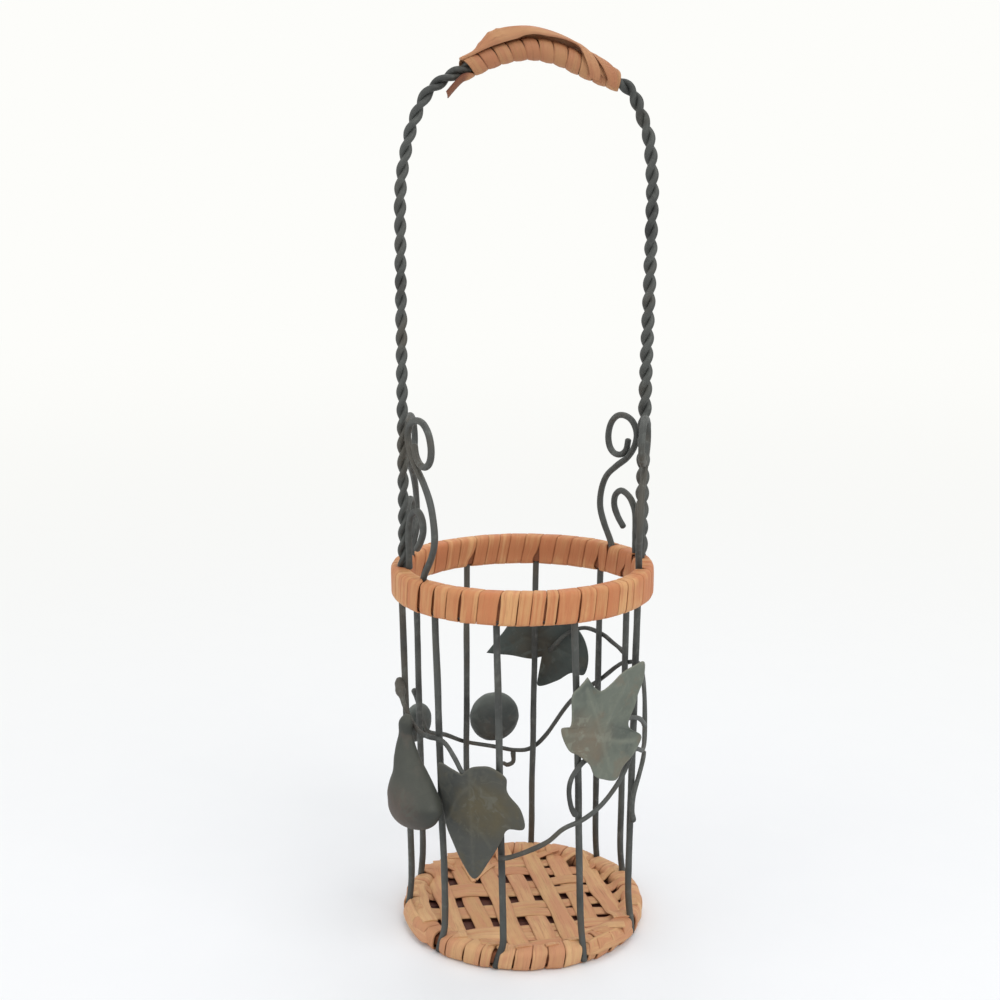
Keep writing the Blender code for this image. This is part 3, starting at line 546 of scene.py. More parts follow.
@dataclass(frozen=True)
class CaneFinish(Finish):
    """Split cane: long fibres along each strip, strips of several tones, darker edges, and painted shade where
    the inner mark is set.

    Bands, fibres and hairs are noise with a scale along the strip, one across it, a detail and a
    roughness; redder is how much rosier the cane is towards the basket's right.
    """

    pale: Colour
    middle: Colour
    rosy: Colour
    deep: Colour
    redder: float = 0.0
    bands: tuple[float, ...] = (28.0, 1.6, 3, 0.55)
    fibres: tuple[float, ...] = (90.0, 9.0, 4, 0.62)
    hairs: tuple[float, ...] = (260.0, 26.0, 2, 0.6)
    relief: float = 0.22 * MM

    def mixed(self, paint: Paint) -> bpy.types.Material:
        """Mixes the cane on the strip's own places: metres along it and -1 to 1 across it."""
        along, across, _ = paint.parts(paint.node("ShaderNodeTexCoord", output="UV"))
        tone, inner = paint.mark("tone"), paint.mark("inner")
        place, shifted = paint.place(), tone * 37.0

        def grain(long: float, wide: float, detail: float, roughness: float) -> Shade:
            """Noise stretched along the strip and shifted by the strip's tone."""
            spot = paint.node("ShaderNodeCombineXYZ", {0: along * long, 1: across * wide, 2: shifted})
            return paint.noise(spot, 1.0, detail, roughness)

        bands, fibres, hairs = grain(*self.bands), grain(*self.fibres), grain(*self.hairs)
        patches = paint.noise(place, 70, 3, 0.55)
        warm = (tone * 0.75 + patches * 0.5 - 0.12).between(0.05, 0.95)
        colour = paint.mix(self.pale, self.middle, warm)
        # painted shade: the inner mark adds a little rosy tint
        colour = paint.mix(colour, self.rosy, (bands + patches * 0.5 + inner * 0.1).between(0.60, 0.92) * 0.8)
        colour = paint.mix(colour, self.rosy, tone.between(0.80, 0.86) * 0.55)
        if self.redder > 0:
            right = paint.parts(place)[0].between(0.004, 0.040) * self.redder
            colour = paint.mix(colour, self.rosy, right * patches.between(0.38, 0.60))
        colour = paint.mix(colour, self.deep, fibres.between(0.52, 0.74) * 0.38)
        colour = paint.mix(colour, self.deep, hairs.between(0.58, 0.78) * 0.22)
        edge = across.size().between(0.80, 1.0)
        # darker strip edges, and painted shade where the inner mark is set
        colour = paint.mix(colour, self.deep, (edge * 0.38 + inner * 0.34).between(0.0, 1.1))
        return paint.finish(fibres * 0.5 + hairs * 0.3 + bands * 0.2, self.relief, Base_Color=colour,
                            Roughness=0.50 + 0.22 * fibres, Metallic=0.0, Specular_IOR_Level=0.36)


@dataclass(frozen=True)
class Finishes:
    """Every finish of the basket."""

    iron: Finish = IronFinish("iron_wire")
    rim_cane: Finish = CaneFinish("cane_rim", (218, 166, 114), (200, 140, 92), (196, 122, 80), (138, 76, 40), 0.6)
    base_cane: Finish = CaneFinish("cane_base", (218, 175, 127), (196, 148, 102), (200, 140, 104), (130, 78, 46))
    grip_cane: Finish = CaneFinish("cane_grip", (190, 141, 99), (171, 118, 78), (178, 118, 84), (100, 54, 36))
    # the winding's core: cane under the strips, coloured darker as painted shade in the slits
    core_cane: Finish = CaneFinish("cane_core", (156, 96, 56), (132, 74, 40), (140, 82, 50), (96, 52, 28))
    # splints under the weave, coloured dark as painted shade
    painted_shade_cane: Finish = CaneFinish("cane_painted_shade", (112, 66, 48), (88, 50, 40), (100, 56, 46), (62, 34, 28))
    front_leaf: Finish = LeafFinish("leaf_front_paint", (74, 75, 70), (56, 59, 58), (98, 97, 86),
                                    (90, 82, 60), (-0.014, -0.052, 0.070), 17 * MM, 0.9)
    right_leaf: Finish = LeafFinish("leaf_right_paint", (106, 112, 101), (80, 86, 80), (134, 136, 122),
                                    (120, 106, 88), (0.024, -0.050, 0.098))
    back_leaf: Finish = LeafFinish("leaf_back_paint", (68, 76, 73), (50, 55, 54), (92, 98, 92),
                                   (78, 72, 60), (0.006, 0.054, 0.104))
    apple: Finish = LeafFinish("apple_paint", (76, 80, 77), (54, 59, 59), (112, 118, 112),
                               (86, 80, 72), (0.013, 0.060, 0.062), 8 * MM, 0.5)
    pear: Finish = LeafFinish("pear_paint", (60, 62, 57), (49, 52, 49), (80, 82, 74),
                              (92, 80, 72), (-0.052, -0.047, 0.066), 18 * MM, 0.9)


class Slot(str, Enum):
    """The record's material slots."""

    IRON = "painted_iron"
    CANE = "cane"
    BASE_CANE = "base_cane"
    LEAF = "leaf_paint"
    FRUIT = "fruit_paint"


# ---------------------------------------------------------------- the cage


@dataclass(frozen=True)
class Cage:
    """Ten upright wires, their feet in the base ring and their tops in the rim.

    The cage widens a little upwards and its wires lean a little, each in its own way: ways gives
    each wire's angle low down and at the rim, and sways the side step of a bent foot, in degrees.
    """

    radius: float = 49.6 * MM
    foot_radius: float = 48.4 * MM
    ring_radius: float = 50.6 * MM
    rim_radius: float = 50.9 * MM
    wire: float = 2.8 * MM
    ways: Pairs = (
        (-147.5, -151.5), (-112.5, -114.5), (-84.0, -85.0), (-41.9, -44.0), (-10.4, -12.3),
        (28.5, 22.2), (64.5, 67.0), (114.0, 114.2), (135.4, 135.2), (174.6, 171.6))
    sways: tuple[tuple[int, float], ...] = ((3, -3.2), (4, -3.6))
    foot: float = 1.0 * MM
    bend: float = 11.5 * MM
    top: float = 156.6 * MM
    flare: float = 13.0 * MM
    drift: float = 0.2
    unevenness: float = 0.035

    def feet(self) -> list[float]:
        """Each upright's angle at its foot."""
        sways = dict(self.sways)
        return [low + sways.get(number, 0.0) for number, (low, _) in enumerate(self.ways)]

    def build(self, finishes: Finishes) -> None:
        """Makes the uprights: a straight run, with a slow drift of its place and of its thickness."""
        for number, ((low, high), foot) in enumerate(zip(self.ways, self.feet())):
            heights = np.array((self.foot, (self.foot + self.bend) / 2, self.bend, 2 * self.bend,
                                self.top * 0.6, self.top))
            angles = low + (high - low) * heights / self.top
            angles[:2] += (foot - low) * np.array((1.0, 0.5))
            arc = smooth_path(np.stack((angles, heights / MM), -1), 1.6)
            height = arc[:, 1] * MM
            reach = self.foot_radius + (self.rim_radius - self.foot_radius) * height / self.top
            reach = reach + (self.ring_radius - self.foot_radius) * bell(height, self.flare)
            path = around(arc[:, 0] + wander(len(arc), self.drift, number + 1, 9), reach, height)
            size = self.wire / 2 * (1 + wander(len(path), self.unevenness, 41 + number, 23))
            node = f"upright_{number + 1:02d}"
            Form().bar(path, size, around(low, 1.0, 0.0), dome=0.3).make(
                f"wire_{node}", finishes.iron, Slot.IRON, node)


@dataclass(frozen=True)
class Parting:
    """A place where a wire comes through a winding and pushes the strips apart.

    Attributes:
        angle: the wire's angle from the front.
        half: half the width that it opens.
        place: where round the section it does so, in the section's degrees.
        seam: the seam that it opens, or None for the nearest.
        reach: how far to both sides of its place it stays wide open, in degrees.
    """

    angle: float
    half: float
    place: float
    seam: float | None = None
    reach: float = 0.0


@dataclass(frozen=True)
class Winding:
    """Cane wound round a ring, as one unbroken strip with many loops.

    The section runs up the outer wall, over the top, down the inner wall and back underneath. Seam
    k stands at b(k) plus the advance of each wall so far, and what is left up to b(k+1) is done
    underneath, so each loop ends where the next begins, and the strip fills the space between two
    seams.

    Attributes:
        place: the ring's name in the names of pieces and nodes.
        seams: each seam's angle.
        gaps: the seams' widths in millimetres, used in turn.
        advance: what a seam moves on along each wall, in degrees.
        sink: how far the core lies under the middle of the strips.
        narrowing: the degrees where the gaps begin to close towards the top, and over how many.
        soft: over how many degrees round the section a parting fades.
        farthest: the most degrees that a seam moves to meet a wire.
    """

    place: str
    seams: tuple[float, ...]
    gaps: tuple[float, ...]
    inner: float
    outer: float
    low: float
    high: float
    thickness: float
    crown: float
    lift: float
    corner: float
    advance: Triple
    seed: int
    sink: float
    steps: int = 44
    narrowing: Pair = (10.0, 45.0)
    soft: float = 30.0
    farthest: float = 8.0
    flatness: float = 12.0
    inner_shade_spread: float = 48.0
    core_rows: int = 180

    def top_place(self, radius: float) -> float:
        """The degrees round the section where a radius lies on its top."""
        return 45 + 90 * (self.outer - radius) / (self.outer - self.inner)

    def bottom_place(self, radius: float) -> float:
        """The degrees round the section where a radius lies underneath."""
        return 225 + 90 * (radius - self.inner) / (self.outer - self.inner)

    def section(self) -> tuple[Array, Array, Array]:
        """The section's points as radius and height, their outward normals and degrees round it.

        It is a superellipse, evenly spaced along its length, from the corner under the outer wall.
        Its degrees go up by 90 along each wall: outer, top, inner and bottom, from -45 to 315.
        """
        turn = np.radians(np.linspace(CORNERS[0], CORNERS[-1], 721))
        middle = np.array(((self.inner + self.outer) / 2, (self.low + self.high) / 2))
        half = np.array(((self.outer - self.inner) / 2, (self.high - self.low) / 2))
        dense = middle + half * np.stack((power(np.cos(turn), self.corner), power(np.sin(turn), self.corner)), -1)
        run = run_of(dense)
        marks = np.linspace(0, run[-1], self.steps + 1)
        points = resample(dense, marks)
        corners = np.array(CORNERS)
        degrees = np.interp(marks, np.interp(corners, np.degrees(turn), run), corners)
        tangent = np.gradient(points, axis=0)
        tangent[0] = tangent[-1] = points[1] - points[-2]
        tangent = unit(tangent)
        return points, np.stack((tangent[:, 1], -tangent[:, 0]), -1), degrees

    def slant(self, degrees: Array) -> tuple[Array, Array]:
        """The advance in degrees at a place round the section, and the share of the rest done there."""
        done = np.concatenate(([0.0], np.cumsum(self.advance)))
        return np.interp(degrees, CORNERS[:4], done), np.interp(degrees, CORNERS[3:], (0.0, 1.0))

    def seam_lines(self, degrees: Array, partings: Sequence[Parting]) -> tuple[Array, Array]:
        """Every seam's angle and half gap, in degrees, at each place round the section.

        Each parting moves its own seam, or the nearest one, onto its wire and opens it there, with
        a bell on the distance round the section. The first two seams follow again after the last.
        """
        seams = np.array(self.seams + (self.seams[0] + 360, self.seams[1] + 360))
        gaps = np.array([self.gaps[k % len(self.gaps)] * MM for k in range(len(seams))])
        step, rest = self.slant(degrees)
        following = np.append(seams[1:], 2 * seams[-1] - seams[-2])[:, None]
        lines = seams[:, None] + step + rest * (following - seams[:, None] - step)
        after = np.append(gaps[1:], gaps[-1])[:, None]
        start, spread = self.narrowing
        half = (gaps[:, None] + rest * (after - gaps[:, None])) / 2 * (1 - 0.8 * ease((degrees - start) / spread))
        for parting, turn in product(partings, (-360, 0, 360)):
            turned = parting.angle + turn
            at = np.array([np.interp(parting.place, degrees, line) for line in lines])
            wanted = np.abs(at - turned) if parting.seam is None else np.abs(seams - parting.seam - turn)
            nearest = int(np.argmin(wanted))
            if abs(at[nearest] - turned) <= self.farthest:
                weight = bell(np.maximum(np.abs(degrees - parting.place) - parting.reach, 0), self.soft)
                lines[nearest] += (turned - at[nearest]) * weight
                half[nearest] = np.maximum(half[nearest], parting.half * weight)
        return lines, half

    def build(self, partings: Sequence[Parting], cane: Finish, core: Finish, slot: Slot) -> None:
        """Makes the winding's left and right halves and the core that shows in its slits, coloured dark as
        painted shade.

        Args:
            partings: where wires push the strips apart.
            cane: the strips' finish.
            core: the core's finish.
            slot: the record's slot.
        """
        points, normals, degrees = self.section()
        lines, half = self.seam_lines(degrees, partings)
        span = np.degrees(half / ((self.inner + self.outer) / 2))
        draw, count = np.random.default_rng(self.seed), len(lines)
        drawn = [draw.uniform(0, 1, count), draw.uniform(0, 1, count), draw.uniform(-1, 1, count)]
        blend = ease(self.slant(degrees)[1])
        middle = len(self.seams) // 2
        a, b = cane_section(16, self.flatness)
        for side, first, last in (("left", 0, middle), ("right", middle, len(self.seams))):
            keep = [slice(0, None if k == last - 1 else -1) for k in range(first, last)]
            loops = range(first, last)
            left = np.concatenate([(lines[k] + span[k])[part] for k, part in zip(loops, keep)])
            right = np.concatenate([(lines[k + 1] - span[k + 1])[part] for k, part in zip(loops, keep)])
            tone, rise, lean = (np.concatenate([(v[k] + (v[k + 1] - v[k]) * blend)[part]
                                                for k, part in zip(loops, keep)]) for v in drawn)
            index = np.concatenate([np.arange(len(degrees))[part] for part in keep])
            angle = (left + right)[:, None] / 2 + np.maximum(right - left, 1.0)[:, None] / 2 * a
            offset = (self.thickness / 2 * b + self.crown * (1 - a**2))[None]
            offset = offset + (rise * self.lift)[:, None] + lean[:, None] * self.lift * a
            radius, height = (points[index, k][:, None] + normals[index, k][:, None] * offset for k in (0, 1))
            grid = around(angle, radius, np.maximum(height, 0.0))
            # painted shade: strips on the ring's inner wall, inside the basket, get the inner mark and are
            # coloured darker
            inwards = bell(degrees[index] - 180, self.inner_shade_spread)
            Form().add(grid, run_of(grid[:, 4]), np.append(a, a[0]), tone=tone, inner=inwards).make(
                f"cane_{self.place}_{side}", cane, slot, f"{self.place}_winding_{side}")
        # the core: cane under the strips, coloured darker and given the full inner mark, as painted shade in the
        # slits
        sunk, rows = (points - normals * self.sink)[:-1], self.core_rows
        turn = np.arange(rows) * 360 / rows
        Form().add(around(turn[:, None], sunk[None, :, 0], sunk[None, :, 1]), np.arange(rows + 1) * 1.6 * MM,
                   np.linspace(-1, 1, len(sunk) + 1), rows_close=True, tone=np.full(rows, 0.5),
                   inner=np.full(rows, 1.0)).make(f"cane_{self.place}_core", core, slot)


@dataclass(frozen=True)
class Rim:
    """The rim: a cane band wound over two hoops and the tops of the uprights."""

    cage: Cage
    band: Winding = Winding(
        "rim", (
            -177.2, -171.6, -165.2, -158.3, -148.7, -140.1, -131.4, -121.5, -109.2, -101.8, -96.0, -89.4, -82.2,
            -71.4, -64.4, -58.6, -49.8, -41.2, -34.3, -27.8, -20.0, -11.1, -3.6, 1.9, 7.6, 12.6, 22.2, 29.4,
            35.4, 42.0, 47.3, 51.7, 60.3, 70.8, 77.5, 84.6, 91.0, 97.8, 105.9, 114.4, 124.0, 130.3, 139.6, 148.6,
            157.4, 166.3, 174.6), (
            0.08, 0.10, 0.08, 0.30, 0.10, 0.12, 0.08, 0.08, 0.30, 0.25, 0.30, 0.30, 0.35, 0.40, 0.12, 0.3, 1.5,
            1.3, 0.35, 1.1, 0.15, 1.0, 0.35, 0.20, 0.80, 0.60, 0.70, 0.12, 0.12, 0.10, 0.25, 0.20, 0.12, 0.40,
            0.25, 0.20, 0.25, 0.30, 0.12, 0.30, 0.12, 0.30, 0.10, 0.08, 0.10, 0.30, 0.08),
        inner=47.9 * MM, outer=54.75 * MM, low=146.1 * MM, high=158.5 * MM, thickness=0.6 * MM, crown=0.05 * MM,
        lift=0.12 * MM, corner=6.0, advance=(1.4, 1.1, 2.7), seed=11, sink=0.62 * MM)
    feet: Pairs = ((-107.0, -109.2), (-52.4, -49.8), (73.0, 70.8), (127.0, 124.0))
    posts: Pairs = ((-80.0, 3.0 * MM), (100.0, 3.6 * MM))

    def build(self, finishes: Finishes) -> None:
        """Makes the band, parted by wires under it and on it, and gives the hidden hoops their finish."""
        under, over = self.band.bottom_place(self.cage.rim_radius), self.band.top_place(self.cage.radius)
        partings = [Parting(high, 1.4 * MM, under) for _, high in self.cage.ways]
        partings += [Parting(high, 1.5 * MM, 222, None, 6) for _, high in self.cage.ways if abs(high) > 100]
        partings += [Parting(angle, 1.6 * MM, over, seam) for angle, seam in self.feet]
        partings += [Parting(angle, half, over) for angle, half in self.posts]
        self.band.build(partings, finishes.rim_cane, finishes.core_cane, Slot.CANE)
        for node in ("rim_hoop_upper", "rim_hoop_lower", "base_hoop"):
            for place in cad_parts[node].material_slots:
                place.material = finishes.iron.material


@dataclass(frozen=True)
class Base:
    """The base: a ring bound with broad cane, and the woven bottom inside it.

    Attributes:
        climb: how far the splints rise onto the ring, from the radius climb_from on.
        turn: the degrees that the long splints are turned from front to back.
        long_strips: first and last angle, width in millimetres and tone of strips along the ring.
        laces: both ends and width in millimetres, and tone, of thin strips over the weave.
    """

    cage: Cage
    ring: Winding = Winding(
        "base", (
            -178.0, -169.0, -160.0, -150.2, -142.0, -133.0, -124.0, -115.2, -107.0, -99.5, -92.0, -86.7, -76.0,
            -66.5, -55.0, -47.8, -39.5, -30.0, -21.5, -16.7, -6.0, 1.9, 9.3, 17.3, 25.8, 34.3, 43.0, 52.0, 61.8,
            70.0, 78.5, 87.5, 96.0, 103.5, 111.3, 121.0, 132.7, 142.0, 152.0, 161.5, 171.9),
        (0.5, 0.9, 0.4, 0.7, 0.5, 0.9, 0.6),
        inner=44.0 * MM, outer=51.45 * MM, low=0.55 * MM, high=7.9 * MM, thickness=0.9 * MM, crown=0.22 * MM,
        lift=0.45 * MM, corner=3.4, advance=(1.3, 1.3, 3.2), seed=5, sink=1.1 * MM)
    mat_height: float = 5.1 * MM
    mat_reach: float = 47.6 * MM
    wave: float = 0.55 * MM
    climb: float = 3.5 * MM
    climb_from: float = 40.5 * MM
    climb_run: float = 6.0 * MM
    splint: float = 0.7 * MM
    splint_crown: float = 0.3 * MM
    turn: float = 12.5
    long_places: tuple[float, ...] = (-44.6, -34.2, -22.2, -10.4, 1.0, 12.3, 23.7, 35.4)
    long_width: float = 8.3 * MM
    cross_places: tuple[float, ...] = (-39.2, -32.4, -25.9, -12.1, -5.6, 7.35, 13.9, 27.0, 33.4, 39.8)
    cross_tilts: tuple[float, ...] = (-3.0, -8.0, -3.0, -9.0, -2.5, -8.0, -3.0, -9.0, -3.0, -4.0)
    cross_width: float = 7.0 * MM
    under_places: Triple = (-39.6, 40.0, 6.6)
    under_width: float = 6.5 * MM
    under_reach: float = 43.6 * MM
    under_height: float = 3.1 * MM
    strip_radius: float = 51.1 * MM
    strip_height: float = 5.6 * MM
    strip_sway: float = 0.7 * MM
    long_strips: tuple[tuple[float, ...], ...] = ((-86.0, -49.5, 7.4, 0.15), (28.5, 64.5, 6.6, 0.45))
    laces: tuple[tuple[Any, ...], ...] = (((-28.0, 35.0), (-22.0, 15.5), 3.0, 0.1),
                                          ((-13.2, 32.0), (-21.4, 17.5), 3.2, 0.22))

    def build(self, finishes: Finishes) -> None:
        """Makes the ring, the long strips laid along it and the woven bottom."""
        partings = [Parting(angle, 1.6 * MM, 0, None, 48) for angle in self.cage.feet()]
        self.ring.build(partings, finishes.base_cane, finishes.core_cane, Slot.BASE_CANE)
        self.ring_strips(finishes)
        self.weave(finishes)
        self.under(finishes)
        self.lacing(finishes)

    def ring_strips(self, finishes: Finishes) -> None:
        """Two broad strips that lie along the ring's upper outer side, in front on the left and right."""
        form = Form()
        for first, last, width, tone in self.long_strips:
            share = np.linspace(0, 1, 60)
            angle = first + (last - first) * share
            sink = 1.5 * MM * (1 - ease(np.minimum(share, 1 - share) * 9))
            height = self.strip_height + self.strip_sway * np.sin(share * 5.0) - sink * 0.3
            path = around(angle, self.strip_radius - sink, height)
            outward = unit(around(angle, 1.0, 0.55))
            size = width * MM * (0.72 + 0.28 * ease(np.minimum(share, 1 - share) * 6))
            form.strip(path, outward, size, 0.8 * MM, 0.55 * MM, tone)
        form.make("cane_base_long_strips", finishes.base_cane, Slot.BASE_CANE)

    def over(self, number: int, pair: int) -> float:
        """1 where a long splint lies over a pair of cross splints, as at three crossings in four, else -1."""
        return -1.0 if (number + 2 * pair) % 4 == 0 else 1.0

    def weave(self, finishes: Finishes) -> None:
        """The bottom: long splints over and under pairs of cross splints, all running onto the ring.

        A splint's height is the mat's plus or minus a wave at each crossing, joined by straight
        runs and rounded by a running mean, and it climbs over the ring's inner edge.
        """
        turn = np.radians(self.turn)
        ahead, aside = np.array((-np.sin(turn), np.cos(turn))), np.array((np.cos(turn), np.sin(turn)))
        draw = np.random.default_rng(3)
        long_places, cross_places = np.array(self.long_places) * MM, np.array(self.cross_places) * MM
        families = (("long", ahead, aside, long_places, self.long_width, cross_places, 0 * long_places),
                    ("cross", aside, ahead, cross_places, self.cross_width, long_places,
                     np.tan(np.radians(self.cross_tilts))))
        for name, along, across, places, width, crossed, tilts in families:
            form = Form()
            long = name == "long"
            for number, (place, tilt) in enumerate(zip(places, tilts)):
                half = np.sqrt(self.mat_reach**2 - place**2)
                s = np.linspace(-half, half, int(half / (0.6 * MM)))
                bow = wander(len(s), 0.75 * MM, 60 + number + 20 * long, 5)
                flat = s[:, None] * along + (place + tilt * s + bow)[:, None] * across
                signs = [self.over(number, (k + 1) // 2) if long else -self.over(k, (number + 1) // 2)
                         for k in range(len(crossed))]
                smooth = np.convolve(np.pad(np.interp(s, crossed, signs), 2, "edge"), np.full(5, 0.2), "valid")
                climb = ease((np.hypot(*flat.T) - self.climb_from) / self.climb_run)
                height = self.mat_height + self.wave * smooth * (1 - climb) + climb * self.climb
                size = width * (1 + wander(len(s), 0.13, 90 + number, 7)) * (1 - 0.2 * climb)
                form.strip(np.column_stack((flat, height)), (0, 0, 1), size, self.splint,
                           self.splint_crown, draw.uniform(0.1, 0.95))
            form.make(f"cane_mat_{name}", finishes.base_cane, Slot.BASE_CANE, *(("base_mat",) if long else ()))

    def under(self, finishes: Finishes) -> None:
        """A close layer of splints under the weave, coloured dark brown as painted shade in its holes."""
        form = Form()
        for number, place in enumerate(np.arange(*self.under_places) * MM):
            half = np.sqrt(self.under_reach**2 - place**2)
            path = np.stack(np.broadcast_arrays(np.linspace(-half, half, 40), place, self.under_height), -1)
            # painted shade: the under splints get the full inner mark and the dark finish
            form.strip(path, (0, 0, 1), self.under_width, 0.6 * MM, 0.1 * MM, 0.1 * number % 1.0, 1.0)
        form.make("cane_mat_under", finishes.painted_shade_cane, Slot.BASE_CANE)

    def lacing(self, finishes: Finishes) -> None:
        """Thin strips that cross over the weave behind the front leaf's tip, arched between their ends."""
        form = Form()
        for start, end, width, tone in self.laces:
            share = np.linspace(0, 1, 40)[:, None]
            flat = (np.array(start) + (np.array(end) - start) * share) * MM
            arch = np.sin(np.pi * share[:, 0])
            height = self.mat_height + (0.3 + 1.1 * arch**0.6) * MM
            form.strip(np.column_stack((flat, height)), (0, 0, 1), width * MM * (0.75 + 0.25 * arch),
                       0.55 * MM, 0.12 * MM, tone)
        form.make("cane_mat_lacing", finishes.base_cane, Slot.BASE_CANE)


# ---------------------------------------------------------------- the handle


@dataclass(frozen=True)
class Handle:
    """Two wires twisted right-handed together in a tall arch, and the cane grip at its top.

    Attributes:
        shape: its middle line, in shares of half its span and of its rise.
        closeness: how far a wire's middle stands from the handle's, for its radius.
        grip_start: where the grip starts, as a share of half the span.
        tail: the length of the winding's loose end, which sags by tail_sag.
        cover_shape: how far the broad strip bows up along the grip, as a share of cover_bow.
        cover_low: how high its near edge hangs along the grip, in millimetres.
        cover_hollow: how deep that edge droops over the hollow, in millimetres.
        hollow: where the hollow begins and over how much, and where it ends and over how much.
        folds: the strip's folds, each with its place, its slant and its width, as shares.
        bands: first and last share of the grip, and tone, of the strips that hold it down.
    """

    cage: Cage
    angle: float = 100.0
    span_share: float = 1.018
    foot: float = 158.25 * MM
    rise: float = 205.2 * MM
    pitch: float = 14.6 * MM
    left_wire: float = 2.4 * MM
    right_wire: float = 3.1 * MM
    closeness: float = 0.90
    wire_drift: float = 0.045
    twist_drift: float = 0.22
    twist_steps: int = 24
    shape: Pairs = (
        (-0.998, 0.0), (-0.984, 0.10), (-0.978, 0.27), (-0.972, 0.45), (-0.966, 0.63), (-0.958, 0.738),
        (-0.922, 0.800), (-0.857, 0.862), (-0.742, 0.919), (-0.600, 0.947), (-0.440, 0.967), (-0.200, 0.992),
        (0.060, 1.005), (0.300, 0.996), (0.540, 0.971), (0.760, 0.950), (0.889, 0.930), (0.970, 0.888),
        (1.034, 0.846), (1.062, 0.792), (1.074, 0.737), (1.068, 0.640), (1.060, 0.543), (1.048, 0.442),
        (1.038, 0.320), (1.026, 0.120), (1.022, 0.0))
    grip_start: float = -0.445
    grip_end: float = 0.760
    grip_loops: int = 11
    grip_reach: float = 3.62 * MM
    grip_gap: float = 0.22 * MM
    grip_strip: float = 0.6 * MM
    grip_crown: float = 0.42 * MM
    tail: float = 8.8 * MM
    tail_bend: float = 2.4 * MM
    tail_sag: float = 4.2 * MM
    tail_width: float = 4.0 * MM
    cover_width: float = 9.4 * MM
    cover_back: float = 2.4 * MM
    cover_bow: float = 6.0 * MM
    cover_seat: float = 1.2 * MM
    cover_shape: Pairs = ((0, -0.10), (0.08, -0.08), (0.125, 0.14), (0.19, 0.64), (0.24, 0.80), (0.34, 0.76),
                          (0.50, 0.50), (0.70, 0.24), (0.86, -0.02), (1, -0.10))
    cover_low: Pairs = ((0, 3.4), (0.08, 3.2), (0.36, 3.8), (0.66, 2.6), (0.78, 1.2), (0.92, -1.8), (1, -2.4))
    cover_hollow: Pairs = ((0.36, 4.6), (0.44, 3.3), (0.52, 2.7), (0.60, 1.6), (0.68, 0.9), (0.74, 1.6))
    hollow: tuple[float, float, float, float] = (0.33, 0.07, 0.78, 0.08)
    folds: tuple[Triple, ...] = ((0.17, 0.07, 0.012), (0.23, 0.05, 0.010))
    fold_height: float = 0.35 * MM
    bands: tuple[Triple, ...] = ((0.66, 0.86, 0.15), (0.77, 0.985, 0.55))
    band_width: float = 4.4 * MM

    @property
    def half_span(self) -> float:
        """Half the way between the handle's feet."""
        return self.span_share * self.cage.radius

    @property
    def sideways(self) -> Array:
        """The handle plane's direction towards its right foot."""
        return facing(self.angle - 90)[0]

    @property
    def front(self) -> Array:
        """The handle plane's normal that faces the front."""
        return facing(self.angle - 90)[1]

    def route(self, step: float) -> Array:
        """The middle of the twisted handle, from its left foot to its right one."""
        places = np.array(self.shape)
        points = places[:, :1] * self.half_span * self.sideways
        points[:, 2] = self.foot + places[:, 1] * self.rise
        return smooth_path(points, step)

    def strand(self, phase: float) -> tuple[Array, Array]:
        """One wire's path and radius: the route plus r (cos t up + sin t front), t a turn each pitch.

        Args:
            phase: where round the handle it starts, in radians.

        Returns:
            Its path and its radius at each point.
        """
        steps = self.twist_steps
        path = self.route(self.pitch / steps)
        up = upright_to(path, self.front)
        radius = np.linspace(self.left_wire, self.right_wire, len(path)) / 2
        size = radius * (1 + wander(len(path), self.wire_drift, 7 + int(phase), 90))
        turn = 2 * np.pi * np.arange(len(path)) / steps + phase + wander(len(path), self.twist_drift, 3, 40)
        reach = (radius * self.closeness)[:, None]
        return path + reach * (np.cos(turn)[:, None] * up + np.sin(turn)[:, None] * self.front), size

    def stretch(self, steps: int) -> Array:
        """The part of the handle's middle under the grip."""
        route = self.route(0.4 * MM)
        shares = route @ self.sideways / self.half_span
        inside = route[(shares >= self.grip_start) & (shares <= self.grip_end)]
        return resample(inside, np.linspace(0, run_of(inside)[-1], steps + 1))

    def build(self, finishes: Finishes) -> None:
        """Makes the wires, the winding with its loose tail, the bowed cover and the lace."""
        for letter, phase in (("a", 0.0), ("b", np.pi)):
            Form().bar(*self.strand(phase), self.front + 0.35 * self.sideways).make(
                f"twisted_wire_{letter}", finishes.iron, Slot.IRON, f"handle_strand_{letter}")
        self.winding(finishes)
        self.cover(finishes)

